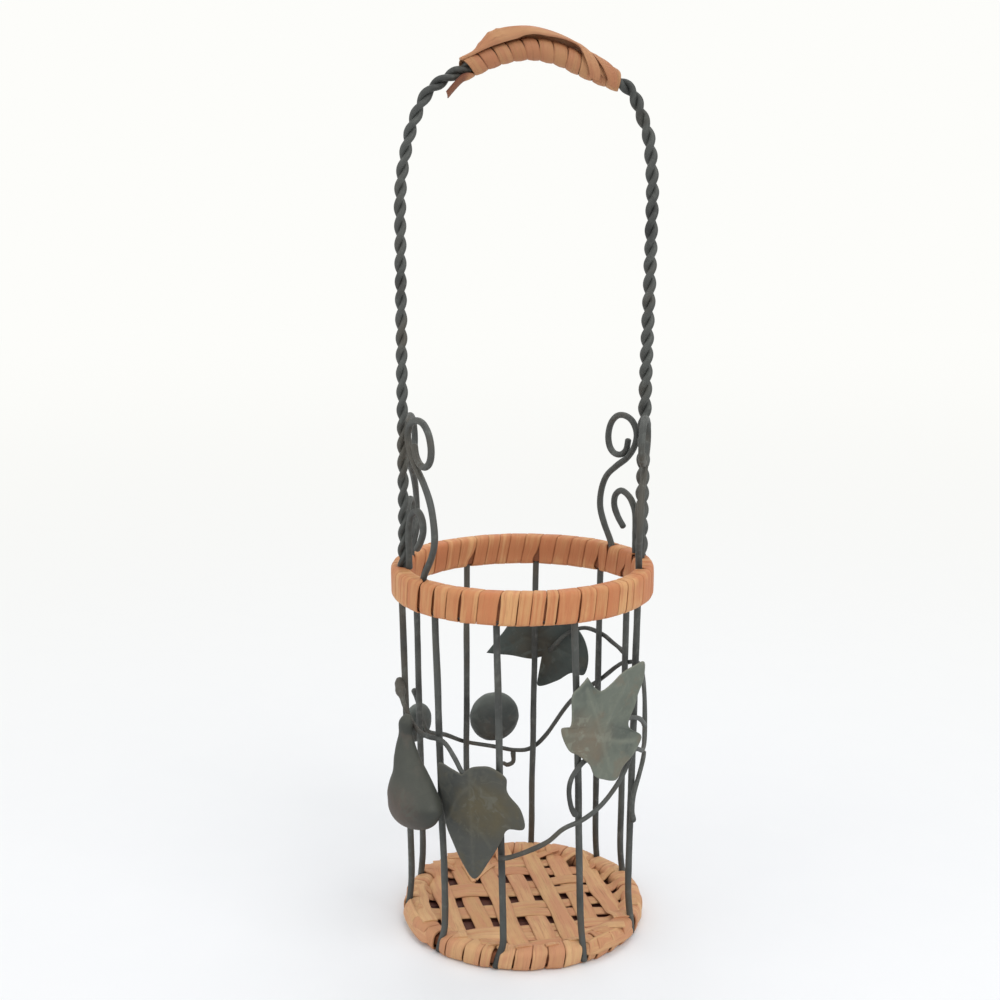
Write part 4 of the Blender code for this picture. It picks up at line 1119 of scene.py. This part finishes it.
    def winding(self, finishes: Finishes) -> None:
        """The grip's winding: on the round of the grip, as a run along and a way round.

        The tail lies straight and sags, a quarter bend follows, then the loops at a steady pitch.
        """
        steps, loose_count, bend_count = 30, 12, 10
        before = loose_count + bend_count
        stretch = self.stretch(self.grip_loops * steps)
        reach, tail, size = self.grip_reach, self.tail, self.tail_bend
        pitch = run_of(stretch)[-1] / self.grip_loops
        index = np.arange(len(stretch))
        bend = np.radians(np.arange(bend_count) * 90 / bend_count)
        loose = np.linspace(tail, tail / loose_count, loose_count)
        run = np.concatenate((-size - loose, size * (np.sin(bend) - 1), index * pitch / steps))
        way = np.concatenate((np.full(loose_count, -size), -size * np.cos(bend),
                              index * 2 * np.pi * reach / steps))
        lift = np.concatenate(((loose / tail) ** 1.2 * self.tail_sag, np.zeros(bend_count),
                               wander(len(index), 0.16 * MM, 21, 60)))
        start = (stretch[1] - stretch[0]) * steps / pitch
        middle = resample(stretch, np.clip(run / pitch * steps, 0, len(stretch) - 1), index)
        middle = middle + np.minimum(run, 0)[:, None] * start
        turn = (np.pi + way / reach)[:, None]
        out = np.cos(turn) * upright_to(middle, self.front) + np.sin(turn) * self.front
        path = middle + (reach + lift)[:, None] * out
        place = np.arange(len(path))
        width = (pitch - self.grip_gap) * (1 + wander(len(path), 0.035, 33, 40))
        widening = ease((place[:before] - loose_count + 1) / (loose_count - 1))
        width[:before] = self.tail_width + (width[before] - self.tail_width) * widening
        loop = np.maximum(place - before, 0) // steps
        tones = np.random.default_rng(8).uniform(0.1, 1.0, self.grip_loops + 2)
        # the inner mark colours the tail darker towards its loose end
        inner = 2.2 * ease((before - 2 - place) / 8)
        tone = tones[np.minimum(loop, self.grip_loops)]
        Form().strip(path, out, width, self.grip_strip, self.grip_crown, tone, inner).make(
            "cane_grip_winding", finishes.grip_cane, Slot.CANE, "grip_winding")

    def cover(self, finishes: Finishes) -> None:
        """The broad arched strip bowed over the grip, and the bands that hold its right end down.

        A point of the strip is route + rise(u) up + a w/2 front - droop(u, a) up, where the droop is
        deep in front over the left half, shallow over the hollow, and deep again at the right end.
        """
        count = 96
        path = self.stretch(count)
        up = upright_to(path, self.front)
        share = np.linspace(0, 1, count + 1)
        bow = read(smooth_path(self.cover_shape, 0.01), share)
        rise = self.grip_reach + self.cover_seat + self.cover_bow * bow + wander(count + 1, 0.15 * MM, 5, 12)
        taper = ease(np.minimum(share * 7, (1 - share) * 9))
        width = self.cover_width * (0.55 + 0.45 * taper) + wander(count + 1, 0.2 * MM, 6, 14)
        first, opening, last, closing = self.hollow
        hollow = ease((share - first) / opening) * ease((last - share) / closing)
        near = (rise - read(self.cover_low, share) * MM) * (1 - hollow)
        near = near + read(self.cover_hollow, share) * MM * hollow
        a, b = cane_section(28, 5.0)
        droop = np.where(a > 0, near[:, None], rise[:, None] - self.cover_back) * np.abs(a) ** 2.2
        fold = sum(bell(share[:, None] - at - slant * a, size) for at, slant, size in self.folds)
        fold = self.fold_height * fold
        lift = rise[:, None] - droop + fold * (b > 0) + 0.45 * MM * b
        grid = path[:, None] + lift[..., None] * up[:, None] + (width[:, None] / 2 * a)[..., None] * self.front
        Form().add(grid, run_of(path), np.append(a, a[0]), tone=np.full(count + 1, 0.30),
                   inner=np.zeros(count + 1)).make("cane_grip_cover", finishes.grip_cane, Slot.CANE, "grip_cover")
        form = Form()
        turn = np.linspace(-0.9, 2.3, 48)
        side = self.grip_reach + 1.6 * MM
        for start, end, tone in self.bands:
            place = (start + (end - start) * ease((turn - turn[0]) / (turn[-1] - turn[0]))) * count
            rows = resample(np.column_stack((path, up, rise)), place, np.arange(count + 1))
            middle, upward, top = rows[:, :3], rows[:, 3:6], rows[:, 6] + 0.35 * MM
            reach = side + (top - side) * np.maximum(np.cos(turn), 0) ** 1.4
            out = np.cos(turn)[:, None] * upward + np.sin(turn)[:, None] * self.front
            form.strip(middle + reach[:, None] * out, out, self.band_width, 0.5 * MM, 0.35 * MM, tone)
        form.make("cane_grip_lace", finishes.grip_cane, Slot.CANE)


@dataclass(frozen=True)
class Wing:
    """One pair of scroll and hook, and how its scroll was bent a little differently.

    Attributes:
        name: its name in the names of pieces and nodes.
        side: 1 for the right post, -1 for the left one.
        turn: 1 for the wing further round the cage, -1 for the other.
        narrow: the loop's share of the common width.
        higher: how much higher the loop stands, in millimetres.
        aside: how far to the right the whole stem stands, in millimetres.
    """

    name: str
    side: int
    turn: int
    narrow: float = 1.0
    higher: float = 0.0
    aside: float = 0.0


@dataclass(frozen=True)
class Scrolls:
    """Four wings at the handle posts, each an S-shaped wire and a small hook beside it.

    Attributes:
        turn: the degrees from a post to its wings' feet.
        post_share: how far the twisted post reaches to its side, for its wire's thickness.
        post_gap: what is left free between the post and the wings.
        loop_from: the share of a scroll's height where its own bend begins, over loop_run.
        scroll_shape: the scroll's line, in shares of the way from the post and of its height.
    """

    cage: Cage
    handle: Handle
    wings: tuple[Wing, ...] = (
        Wing("right_back", 1, 1, 0.85, -2.1), Wing("right_front", 1, -1, aside=1.9),
        Wing("left_front", -1, 1, 1.0, 1.7, 0.4), Wing("left_back", -1, -1))
    rim_top: float = 158.85 * MM
    turn: float = 34.0
    post_share: float = 1.077
    post_gap: float = 0.47 * MM
    loop_from: float = 0.42
    loop_run: float = 0.36
    stem_run: float = 0.25
    scroll_height: float = 60.5 * MM
    hook_height: float = 25.6 * MM
    scroll_shape: Pairs = (
        (0.267, -0.12), (0.267, 0.0), (0.09, 0.15), (-0.03, 0.265), (0.0, 0.39), (0.13, 0.51), (0.38, 0.61),
        (0.70, 0.70), (0.92, 0.79), (1.0, 0.885), (0.87, 0.965), (0.62, 1.0), (0.35, 0.99), (0.14, 0.93),
        (0.05, 0.84), (0.10, 0.76), (0.27, 0.715), (0.49, 0.715), (0.66, 0.76), (0.72, 0.83))
    hook_shape: Pairs = (
        (1.0, 0.012), (1.0, 0.25), (1.0, 0.50), (0.97, 0.72), (0.84, 0.91), (0.60, 1.0), (0.42, 0.90),
        (0.385, 0.72), (0.49, 0.54), (0.65, 0.39))

    def plane(self, wing: Wing) -> tuple[Array, Array, float]:
        """A wing's start on the rim, its unit direction to the post and its length to the post's side."""
        right = wing.side > 0
        post_angle = self.handle.angle - (0 if right else 180)
        share = self.handle.shape[-3][0] if right else -self.handle.shape[2][0]
        wire = self.handle.right_wire if right else self.handle.left_wire
        post = around(post_angle, self.handle.half_span * share, 0.0)
        start = around(post_angle + wing.turn * self.turn, self.cage.radius, 0.0)
        length = float(np.linalg.norm(post - start))
        reach = length - wire * self.post_share - self.post_gap - self.cage.wire / 2
        return start, (post - start) / length, reach

    def build(self, finishes: Finishes) -> None:
        """Makes all the scrolls and hooks: bars in each wing's plane.

        A scroll's own bends come in smoothly: the loop's above its middle, the stem's at its foot.
        """
        for number, wing in enumerate(self.wings):
            start, towards, reach = self.plane(wing)
            normal = np.cross(towards, (0, 0, 1))
            for kind, shape, height in (("scroll", self.scroll_shape, self.scroll_height),
                                        ("hook", self.hook_shape, self.hook_height)):
                across, up = np.array(shape).T
                bent = float(kind == "scroll")
                loop = ease((up - self.loop_from) / self.loop_run) * bent
                across = 1 - (1 - across) * (1 + (wing.narrow - 1) * loop)
                points = start + across[:, None] * reach * towards
                points[:, 0] += wing.aside * bent * MM * ease(up / self.stem_run)
                points[:, 2] = self.rim_top + up * height + wing.higher * MM * loop
                low = points[:, 2] <= self.rim_top
                points[low, :2] *= self.cage.radius / np.hypot(points[low, 0], points[low, 1])[:, None]
                path = smooth_path(points, WIRE_STEP)
                size = self.cage.wire / 2 * (1 + wander(len(path), 0.04, 70 + number, 20))
                Form().bar(path, size, normal, dome=0.6).make(
                    f"iron_{kind}_{wing.name}", finishes.iron, Slot.IRON, f"{kind}_{wing.name}")


# ---------------------------------------------------------------- the vine


@dataclass(frozen=True)
class Vine:
    """Thin wires laid round the outside of the cage, with knots where they start and part.

    Each wire's places are an angle from the front and a share of the vine's height.
    """

    cage: Cage
    wire: float = 2.0 * MM
    seat: float = 0.3 * MM
    height: float = 120.8 * MM
    main: Pairs = (
        (-114, 0.782), (-119, 0.70), (-125, 0.60), (-138, 0.555), (-151, 0.503), (-168, 0.464),
        (-177, 0.448), (-185, 0.456), (-193, 0.513), (-207, 0.669), (-224, 0.777), (-235, 0.847),
        (-243, 0.880), (-259, 0.905), (-270, 0.82), (-277, 0.70), (-286, 0.665), (-300, 0.70),
        (-311, 0.63), (-323, 0.565), (-333, 0.529), (-343, 0.507), (-351, 0.464), (-366, 0.417),
        (-371, 0.411))
    branch: Pairs = ((-241, 0.915), (-232, 0.935), (-225, 0.955), (-214, 0.965), (-204, 0.93), (-195, 0.86))
    tail: Pairs = ((79, 0.640), (69, 0.600), (61, 0.545), (59, 0.49), (60, 0.448))
    twig: Pairs = (
        (-86, 0.89), (-80, 0.868), (-74, 0.85), (-68, 0.83), (-61, 0.802), (-54, 0.785), (-47, 0.783),
        (-41, 0.787), (-36.5, 0.775), (-32, 0.735), (-28, 0.69), (-22, 0.66))
    loop: Pairs = ((30, 0.735), (26, 0.727), (21, 0.684), (19.5, 0.637), (20.5, 0.581), (22.5, 0.552))
    curl: Pairs = ((-176, 0.437), (-176, 0.400), (-173, 0.388), (-171, 0.396))
    stalk: Pairs = ((78, 0.745), (66, 0.80), (54, 0.83), (44, 0.82), (36, 0.80))

    @property
    def radius(self) -> float:
        """The wires' middle radius, against the outside of the uprights."""
        return self.cage.radius + self.cage.wire / 2 + self.seat + self.wire / 2

    @property
    def outside(self) -> float:
        """The radius just off the wires' outer side, where leaves and fruits sit."""
        return self.radius + self.wire / 2 + self.seat

    def path(self, places: Pairs) -> Array:
        """A vine wire's middle line, smoothed on the cage's round."""
        flat = np.array([(np.radians(a) * self.radius, share * self.height) for a, share in places])
        fine = smooth_path(flat, WIRE_STEP)
        return around(np.degrees(fine[:, 0] / self.radius), self.radius, fine[:, 1])

    def build(self, finishes: Finishes) -> None:
        """Makes the vine's wires, thicker at their knots."""
        runs = (("vine_stem", self.main, "vine_main", (0.0, 0.42), 1.45),
                ("vine_branch", self.branch, "vine_back_branch", (0.02,), 1.25),
                ("vine_tail", self.tail, "vine_side_tail", (1.0,), 1.4),
                ("vine_twig", self.twig, "vine_front_twig", (0.02, 0.09), 2.2),
                ("vine_loop", self.loop, "tendril_loop", (1.0,), 1.3),
                ("vine_curl", self.curl, "tendril_curl", (0.0,), 1.3),
                ("leaf_stem", self.stalk, "leaf_right_stalk", (0.0,), 1.2))
        for number, (name, places, node, knots, swell) in enumerate(runs):
            path = self.path(places)
            run = run_of(path)
            size = self.wire / 2 * (1 + wander(len(path), 0.07, 30 + number, 4 + len(path) // 9))
            for knot in knots:
                size = size * (1 + (swell - 1) * bell(run - knot * run[-1], 2.4 * MM))
            Form().bar(path, size, path * (1, 1, 0), 12, 0.8).make(name, finishes.iron, Slot.IRON, node)


@dataclass(frozen=True)
class Leaf:
    """A pressed iron leaf, bent to the cage's round, with raised veins and a rolled rim.

    Attributes:
        base: its lowest place, as a share of the vine's height.
        outline: its edge, in shares of its width and height, as are the veins.
        cup: how far its edge stands out from its middle.
        curl: the radius of its bend round the cage.
        quilt: how high the blade swells between the veins, in waves of two lengths.
    """

    node: str
    width: float
    height: float
    base: float
    angle: float
    outline: Pairs
    veins: tuple[Pairs, ...]
    cup: float
    curl: float = 90.0 * MM
    thickness: float = 0.9 * MM
    vein: float = 0.38 * MM
    vein_width: float = 0.9 * MM
    quilt: float = 0.35 * MM
    waves: Pair = (2.3 * MM, 3.1 * MM)
    segments: int = 220
    rings: int = 34
    innermost: float = 0.03
    rim_share: float = 0.012
    rim_thinning: float = 0.55

    def relief(self, flat: Array, scale: Array) -> Array:
        """How much a place lies on a vein: the greatest exp(-(d / w)^2) over the veins' pieces.

        Args:
            flat: the blade's places.
            scale: the outline's width and height.

        Returns:
            A value from 0 to 1 for each place.
        """
        best = np.zeros(flat.shape[:-1])
        for line in self.veins:
            chosen = smooth_path(np.array(line) * scale, 1.5 * MM)
            for a, b in zip(chosen, chosen[1:]):
                share = np.clip(((flat - a) @ (b - a)) / ((b - a) @ (b - a)), 0, 1)
                distance = np.linalg.norm(flat - a - share[..., None] * (b - a), axis=-1)
                best = np.maximum(best, bell(distance, self.vein_width))
        return best

    def build(self, vine: Vine, finish: Finish) -> None:
        """Makes the blade: rings from its middle to its outline, over the rim and back underneath.

        A place's depth is its vein's rise, plus a quilt between the veins, plus the cup, less
        s^2 / (2 curl) for the bend round the cage.
        """
        scale = np.array((self.width, self.height))
        outline = np.array(self.outline) * scale
        closed = np.vstack((outline, outline[0]))
        edge = smooth_path(closed, run_of(closed)[-1] / self.segments)[:-1]
        middle = outline.mean(axis=0)
        spread = np.linspace(self.innermost, 1, self.rings), np.linspace(1, self.innermost, self.rings)
        share = np.concatenate(spread)
        face = np.concatenate((np.ones(self.rings), -np.ones(self.rings)))
        rim = 1 - bell(1 - share, self.rim_share) * self.rim_thinning
        flat = middle + (edge - middle)[None] * share[:, None, None]
        relief = self.relief(flat, scale)
        out = np.abs(share)[:, None]
        wide, tall = self.waves
        quilt = self.quilt * np.sin(flat[..., 0] / wide) * np.sin(flat[..., 1] / tall) * out
        rise = self.vein * relief * (1 - 0.5 * out) + quilt + self.cup * out**2
        depth = rise + (face * rim)[:, None] * self.thickness / 2 - flat[..., 0] ** 2 / (2 * self.curl)
        across, outward = facing(self.angle)
        origin = around(self.angle, vine.outside + self.thickness / 2, self.base * vine.height)
        grid = origin + flat[..., :1] * across + depth[..., None] * outward
        grid[..., 2] += flat[..., 1]
        worn = np.maximum(relief, bell(1 - out, 0.03)) * (face > 0)[:, None]
        Form().add(grid, np.arange(len(grid)) * MM, np.linspace(0, 1, grid.shape[1] + 1), relief=worn).make(
            f"iron_{self.node}", finish, Slot.LEAF, self.node, sharp=80)


@dataclass(frozen=True)
class Fruit:
    """A hollow iron fruit, rounded all over or flattened behind above its widest place.

    Attributes:
        lean: how far its axis bends sideways in all.
        back: how far its flat back stands from the cage's axis.
        shape: its half width and height, both as shares.
        axis: the share of the lean at each share of its height.
        round_below: the share of its height above which its back is flat.
    """

    node: str
    height: float
    half_width: float
    half_depth: float
    base: float
    angle: float
    lean: float
    back: float
    shape: Pairs
    axis: Pairs = ((0.0, 0.0), (1.0, 1.0))
    round_below: float = 1.1
    foot: Pair = (0.03, 0.012)
    crown: Pair = (0.03, 0.992)
    dent: float = 0.010
    sides: int = 56

    def build(self, finish: Finish) -> None:
        """Makes the fruit: half ellipses of size w(z) stacked up a leaning middle line.

        A point is middle(z) + w (half width cos t across + half depth sin t outward), and the
        surface has shallow hammered dents. The middle leans by the axis's share of the lean, and
        above round_below it moves in with w, so that the back lies flat against the vine.
        """
        across, outward = facing(self.angle)
        profile = smooth_path([self.foot, *self.shape, self.crown], 0.022)
        size, level = np.maximum(profile[:, 0], 0.02), np.clip(profile[:, 1], 0, 1)
        t = np.arange(self.sides) * 2 * np.pi / self.sides
        dent = 1 + self.dent * np.sin(5 * t[None] + 9 * level[:, None]) * np.sin(17 * level[:, None])
        shift = self.lean * read(smooth_path(self.axis, 0.02), level)
        bend = shift**2 / (2 * self.back)
        full = np.where(level < self.round_below, 1.0, size)
        middle = outward * (self.back + self.half_depth * full - bend)[:, None] + across * shift[:, None]
        middle[:, 2] = self.base + self.height * level
        wide = (self.half_width * size)[:, None] * np.cos(t) * dent
        deep = (self.half_depth * size)[:, None] * np.sin(t) * dent
        grid = middle[:, None] + wide[..., None] * across + deep[..., None] * outward
        Form().add(grid, run_of(middle), np.linspace(0, 1, self.sides + 1), relief=np.full(len(grid), 0.1)).make(
            f"iron_{self.node}", finish, Slot.FRUIT, self.node)


@dataclass(frozen=True)
class Foliage:
    """The three leaves and three fruits of the vine."""

    vine: Vine

    def leaves(self) -> tuple[Leaf, Leaf, Leaf]:
        """The front, right and back leaves."""
        front = Leaf("leaf_front", 37.0 * MM, 48.0 * MM, 0.331, -20, (
            (-0.19, 0.905), (-0.32, 0.945), (-0.48, 0.965), (-0.475, 0.80), (-0.44, 0.63), (-0.38, 0.41),
            (-0.23, 0.17), (-0.06, 0.0), (0.11, 0.17), (0.24, 0.35), (0.32, 0.47), (0.50, 0.495),
            (0.46, 0.65), (0.32, 0.80), (0.30, 0.92), (0.15, 1.0), (0.02, 1.0), (-0.10, 0.97)),
            (((-0.10, 0.93), (-0.08, 0.55), (-0.06, 0.08)), ((-0.10, 0.80), (-0.25, 0.70), (-0.36, 0.50)),
             ((-0.09, 0.85), (0.12, 0.75), (0.36, 0.56)), ((-0.08, 0.50), (0.05, 0.40), (0.15, 0.28))),
            -0.4 * MM)
        right = Leaf("leaf_right", 41.0 * MM, 46.0 * MM, 0.650, 35, (
            (-0.22, 0.995), (-0.12, 0.88), (-0.02, 0.85), (0.20, 0.95), (0.52, 1.0), (0.54, 0.86),
            (0.42, 0.66), (0.31, 0.46), (0.50, 0.33), (0.48, 0.25), (0.34, 0.15), (0.23, 0.085),
            (0.14, 0.0), (-0.02, 0.04), (-0.12, 0.09), (-0.19, 0.21), (-0.31, 0.31), (-0.42, 0.38),
            (-0.49, 0.57), (-0.39, 0.59), (-0.385, 0.84), (-0.31, 0.92)),
            (((-0.03, 0.42), (0.10, 0.62), (0.30, 0.88)), ((-0.03, 0.42), (-0.10, 0.62), (-0.22, 0.88)),
             ((-0.03, 0.42), (-0.20, 0.46), (-0.40, 0.50)), ((-0.03, 0.42), (0.15, 0.34), (0.40, 0.30)),
             ((-0.03, 0.42), (0.02, 0.25), (0.08, 0.08))),
            1.6 * MM)
        back = Leaf("leaf_back", 47.8 * MM, 36.0 * MM, 0.709, 173, (
            (0.47, 0.44), (0.31, 0.71), (0.22, 0.86), (0.0, 1.0), (-0.25, 0.98), (-0.45, 0.75),
            (-0.53, 0.46), (-0.49, 0.19), (-0.36, 0.195), (-0.22, 0.07), (-0.025, 0.0), (-0.09, 0.36),
            (0.035, 0.355), (0.25, 0.40)),
            (((0.10, 0.66), (-0.12, 0.60), (-0.42, 0.40)), ((0.02, 0.66), (-0.16, 0.80), (-0.30, 0.88)),
             ((0.10, 0.66), (0.22, 0.56), (0.36, 0.48)), ((-0.10, 0.62), (-0.16, 0.35), (-0.12, 0.12))),
            0.8 * MM)
        return front, right, back

    def fruits(self) -> tuple[Fruit, Fruit, Fruit]:
        """The pear, the large apple behind and the small one."""
        turn = np.radians(np.arange(20, 170, 10))
        round_shape = tuple(zip(np.sin(turn).tolist(), (0.5 - 0.5 * np.cos(turn)).tolist()))
        pear_shape = ((0.30, 0.0), (0.58, 0.02), (0.82, 0.08), (0.96, 0.17), (1.0, 0.27), (0.87, 0.38),
                      (0.69, 0.48), (0.53, 0.59), (0.36, 0.71), (0.27, 0.80), (0.25, 0.92), (0.12, 0.99))
        pear_axis = ((0.0, 0.05), (0.14, -0.03), (0.27, -0.06), (0.45, 0.18), (0.60, 0.50), (0.72, 0.72),
                     (0.86, 0.80), (1.0, 0.78))
        height, outside = self.vine.height, self.vine.outside
        return (Fruit("pear", 41.8 * MM, 14.6 * MM, 7.8 * MM, 0.828 * height - 40.6 * MM, -47, -16.0 * MM,
                      outside, pear_shape, pear_axis, 0.27),
                Fruit("apple", 24.0 * MM, 11.8 * MM, 5.4 * MM, 0.474 * height + 1.2 * MM, -166.9, 0.0,
                      self.vine.cage.radius, round_shape),
                Fruit("apple_small", 17.8 * MM, 8.9 * MM, 4.4 * MM, 0.623 * height - 8.9 * MM, -125, 0.0,
                      outside, round_shape))

    def build(self, finishes: Finishes) -> None:
        """Makes the leaves and fruits."""
        for leaf, finish in zip(self.leaves(), (finishes.front_leaf, finishes.right_leaf, finishes.back_leaf)):
            leaf.build(self.vine, finish)
        for fruit, finish in zip(self.fruits(), (finishes.pear, finishes.apple, finishes.apple)):
            fruit.build(finish)


# ---------------------------------------------------------------- the studio


@dataclass(frozen=True)
class Studio:
    """A pale floor, a white surround, soft lamps and the photograph's camera.

    Attributes:
        fade: the nearness, as 1 over metres, where the floor begins to fade and where it is gone.
        aim: the place that the lamps face.
        lamps: each lamp's name, place and power in watts.
    """

    camera_place: Triple = (-9.19 * MM, -544.9 * MM, 289.9 * MM)
    pitch: float = 10.914
    roll: float = -0.323
    focal_pixels: float = 1331.85
    image: float = 1000.0
    sensor: float = 36.0
    floor_radius: float = 6.0
    floor_depth: float = 10 * MM
    floor_drop: float = -0.05 * MM
    fade: Pair = (1.75, 0.22)
    floor_colour: Colour = (240, 241, 243)
    surround: Colour = (253, 253, 250)
    sky: float = 0.62
    sky_colour: tuple[float, ...] = (0.97, 0.985, 1.0, 1.0)
    aim: Triple = (0, 0, 0.15)
    lamp_size: float = 1.0
    lamps: tuple[tuple[str, Triple, float], ...] = (
        ("key", (0.75, -0.85, 1.25), 8.5), ("fill", (-1.1, -0.6, 0.9), 4.5), ("top", (0.1, 0.5, 1.5), 6.0))

    def build(self) -> None:
        """Makes the floor, the surround, the lamps and the camera."""
        self.floor()
        self.world()
        for name, place, power_watts in self.lamps:
            self.lamp(name, place, power_watts)
        self.camera()

    def seen(self, paint: Paint) -> Shade:
        """1 for a ray from the camera or through gloss or glass, otherwise 0."""
        paths = [paint.node("ShaderNodeLightPath", output=name)
                 for name in ("Is Camera Ray", "Is Glossy Ray", "Is Transmission Ray")]
        return paths[0] + paths[1] + paths[2]

    def floor(self) -> None:
        """A round floor, its radius growing ring by ring, that fades into the surround far off."""
        rows, columns = 25, 64
        rings = np.concatenate(([0.002], np.geomspace(0.05, self.floor_radius, rows - 1)))
        turn = np.arange(columns) * 360 / columns
        grid = around(turn[None], rings[:, None], np.full((rows, columns), self.floor_drop))
        deep = grid[::-1] - np.array((0, 0, self.floor_depth))
        form = Form().add(np.vstack((grid, deep)), np.arange(2.0 * rows), np.linspace(0, 1, columns + 1))
        paint = Paint("studio_floor")
        place = paint.place()
        far = paint.node("ShaderNodeVectorMath", {0: place}, "Value", operation="LENGTH")
        base = paint.mix(self.floor_colour, self.surround, paint.noise(place, 35, 2, 0.5) * 0.15)
        plain = paint.node("ShaderNodeBsdfDiffuse", {"Color": base})
        glow = paint.node("ShaderNodeEmission", {"Color": linear(self.surround), "Strength": 1.0})
        closeness = far.sum("DIVIDE", 1.0, far - self.camera_place[1])
        factor = closeness.between(*self.fade) * self.seen(paint)
        both = paint.node("ShaderNodeMixShader", {0: factor, 1: plain, 2: glow})
        paint.node("ShaderNodeOutputMaterial", {"Surface": both})
        floor = linked("studio_floor", form.mesh("studio_floor", paint.material))

    def world(self) -> None:
        """An even sky that lights softly and shows white to the camera."""
        world = bpy.data.worlds.new("studio_world")
        world.use_nodes = True
        paint = Paint("studio_world_nodes")
        paint.tree = world.node_tree
        paint.tree.nodes.clear()
        light = paint.node("ShaderNodeBackground", {"Color": self.sky_colour, "Strength": self.sky})
        shown = paint.node("ShaderNodeBackground", {"Color": linear(self.surround), "Strength": 1.0})
        both = paint.node("ShaderNodeMixShader", {0: self.seen(paint), 1: light, 2: shown})
        paint.node("ShaderNodeOutputWorld", {"Surface": both})
        bpy.data.materials.remove(paint.material)
        bpy.context.scene.world = world

    def lamp(self, name: str, place: Triple, power_watts: float) -> None:
        """A square soft lamp that faces the basket."""
        data = bpy.data.lights.new(f"studio_{name}", "AREA")
        data.size, data.energy = self.lamp_size, power_watts
        lamp = linked(f"studio_{name}", data)
        lamp.location = place
        lamp.rotation_euler = (Vector(self.aim) - Vector(place)).to_track_quat("-Z", "Y").to_euler()

    def camera(self) -> None:
        """The camera at the photograph's viewpoint, level but for its measured pitch and roll."""
        pitch, roll = np.radians(self.pitch), np.radians(self.roll)
        ahead, right = np.array((0.0, np.cos(pitch), -np.sin(pitch))), np.array((1.0, 0.0, 0.0))
        up = np.cross(right, ahead)
        matrix = np.eye(4)
        matrix[:3, 0] = np.cos(roll) * right + np.sin(roll) * up
        matrix[:3, 1] = -np.sin(roll) * right + np.cos(roll) * up
        matrix[:3, 2], matrix[:3, 3] = -ahead, self.camera_place
        data = bpy.data.cameras.new("photo_camera")
        data.sensor_width = self.sensor
        data.lens = self.focal_pixels / self.image * self.sensor
        data.clip_start, data.clip_end = 0.01, 50.0
        camera = linked("photo_camera", data)
        camera.matrix_world = Matrix(matrix.tolist())
        bpy.context.scene.camera = camera


def main() -> None:
    """Builds the basket's sub-assemblies in order, then the studio."""
    logging.basicConfig(level=logging.INFO, format="%(message)s")
    bpy.context.scene.view_settings.view_transform = "Standard"
    finishes, cage = Finishes(), Cage()
    handle, vine = Handle(cage), Vine(cage)
    for part in (cage, Rim(cage), Base(cage), handle, Scrolls(cage, handle), vine, Foliage(vine)):
        LOG.info("building %s", type(part).__name__)
        part.build(finishes)
    Studio().build()
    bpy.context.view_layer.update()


if __name__ == "__main__":
    main()
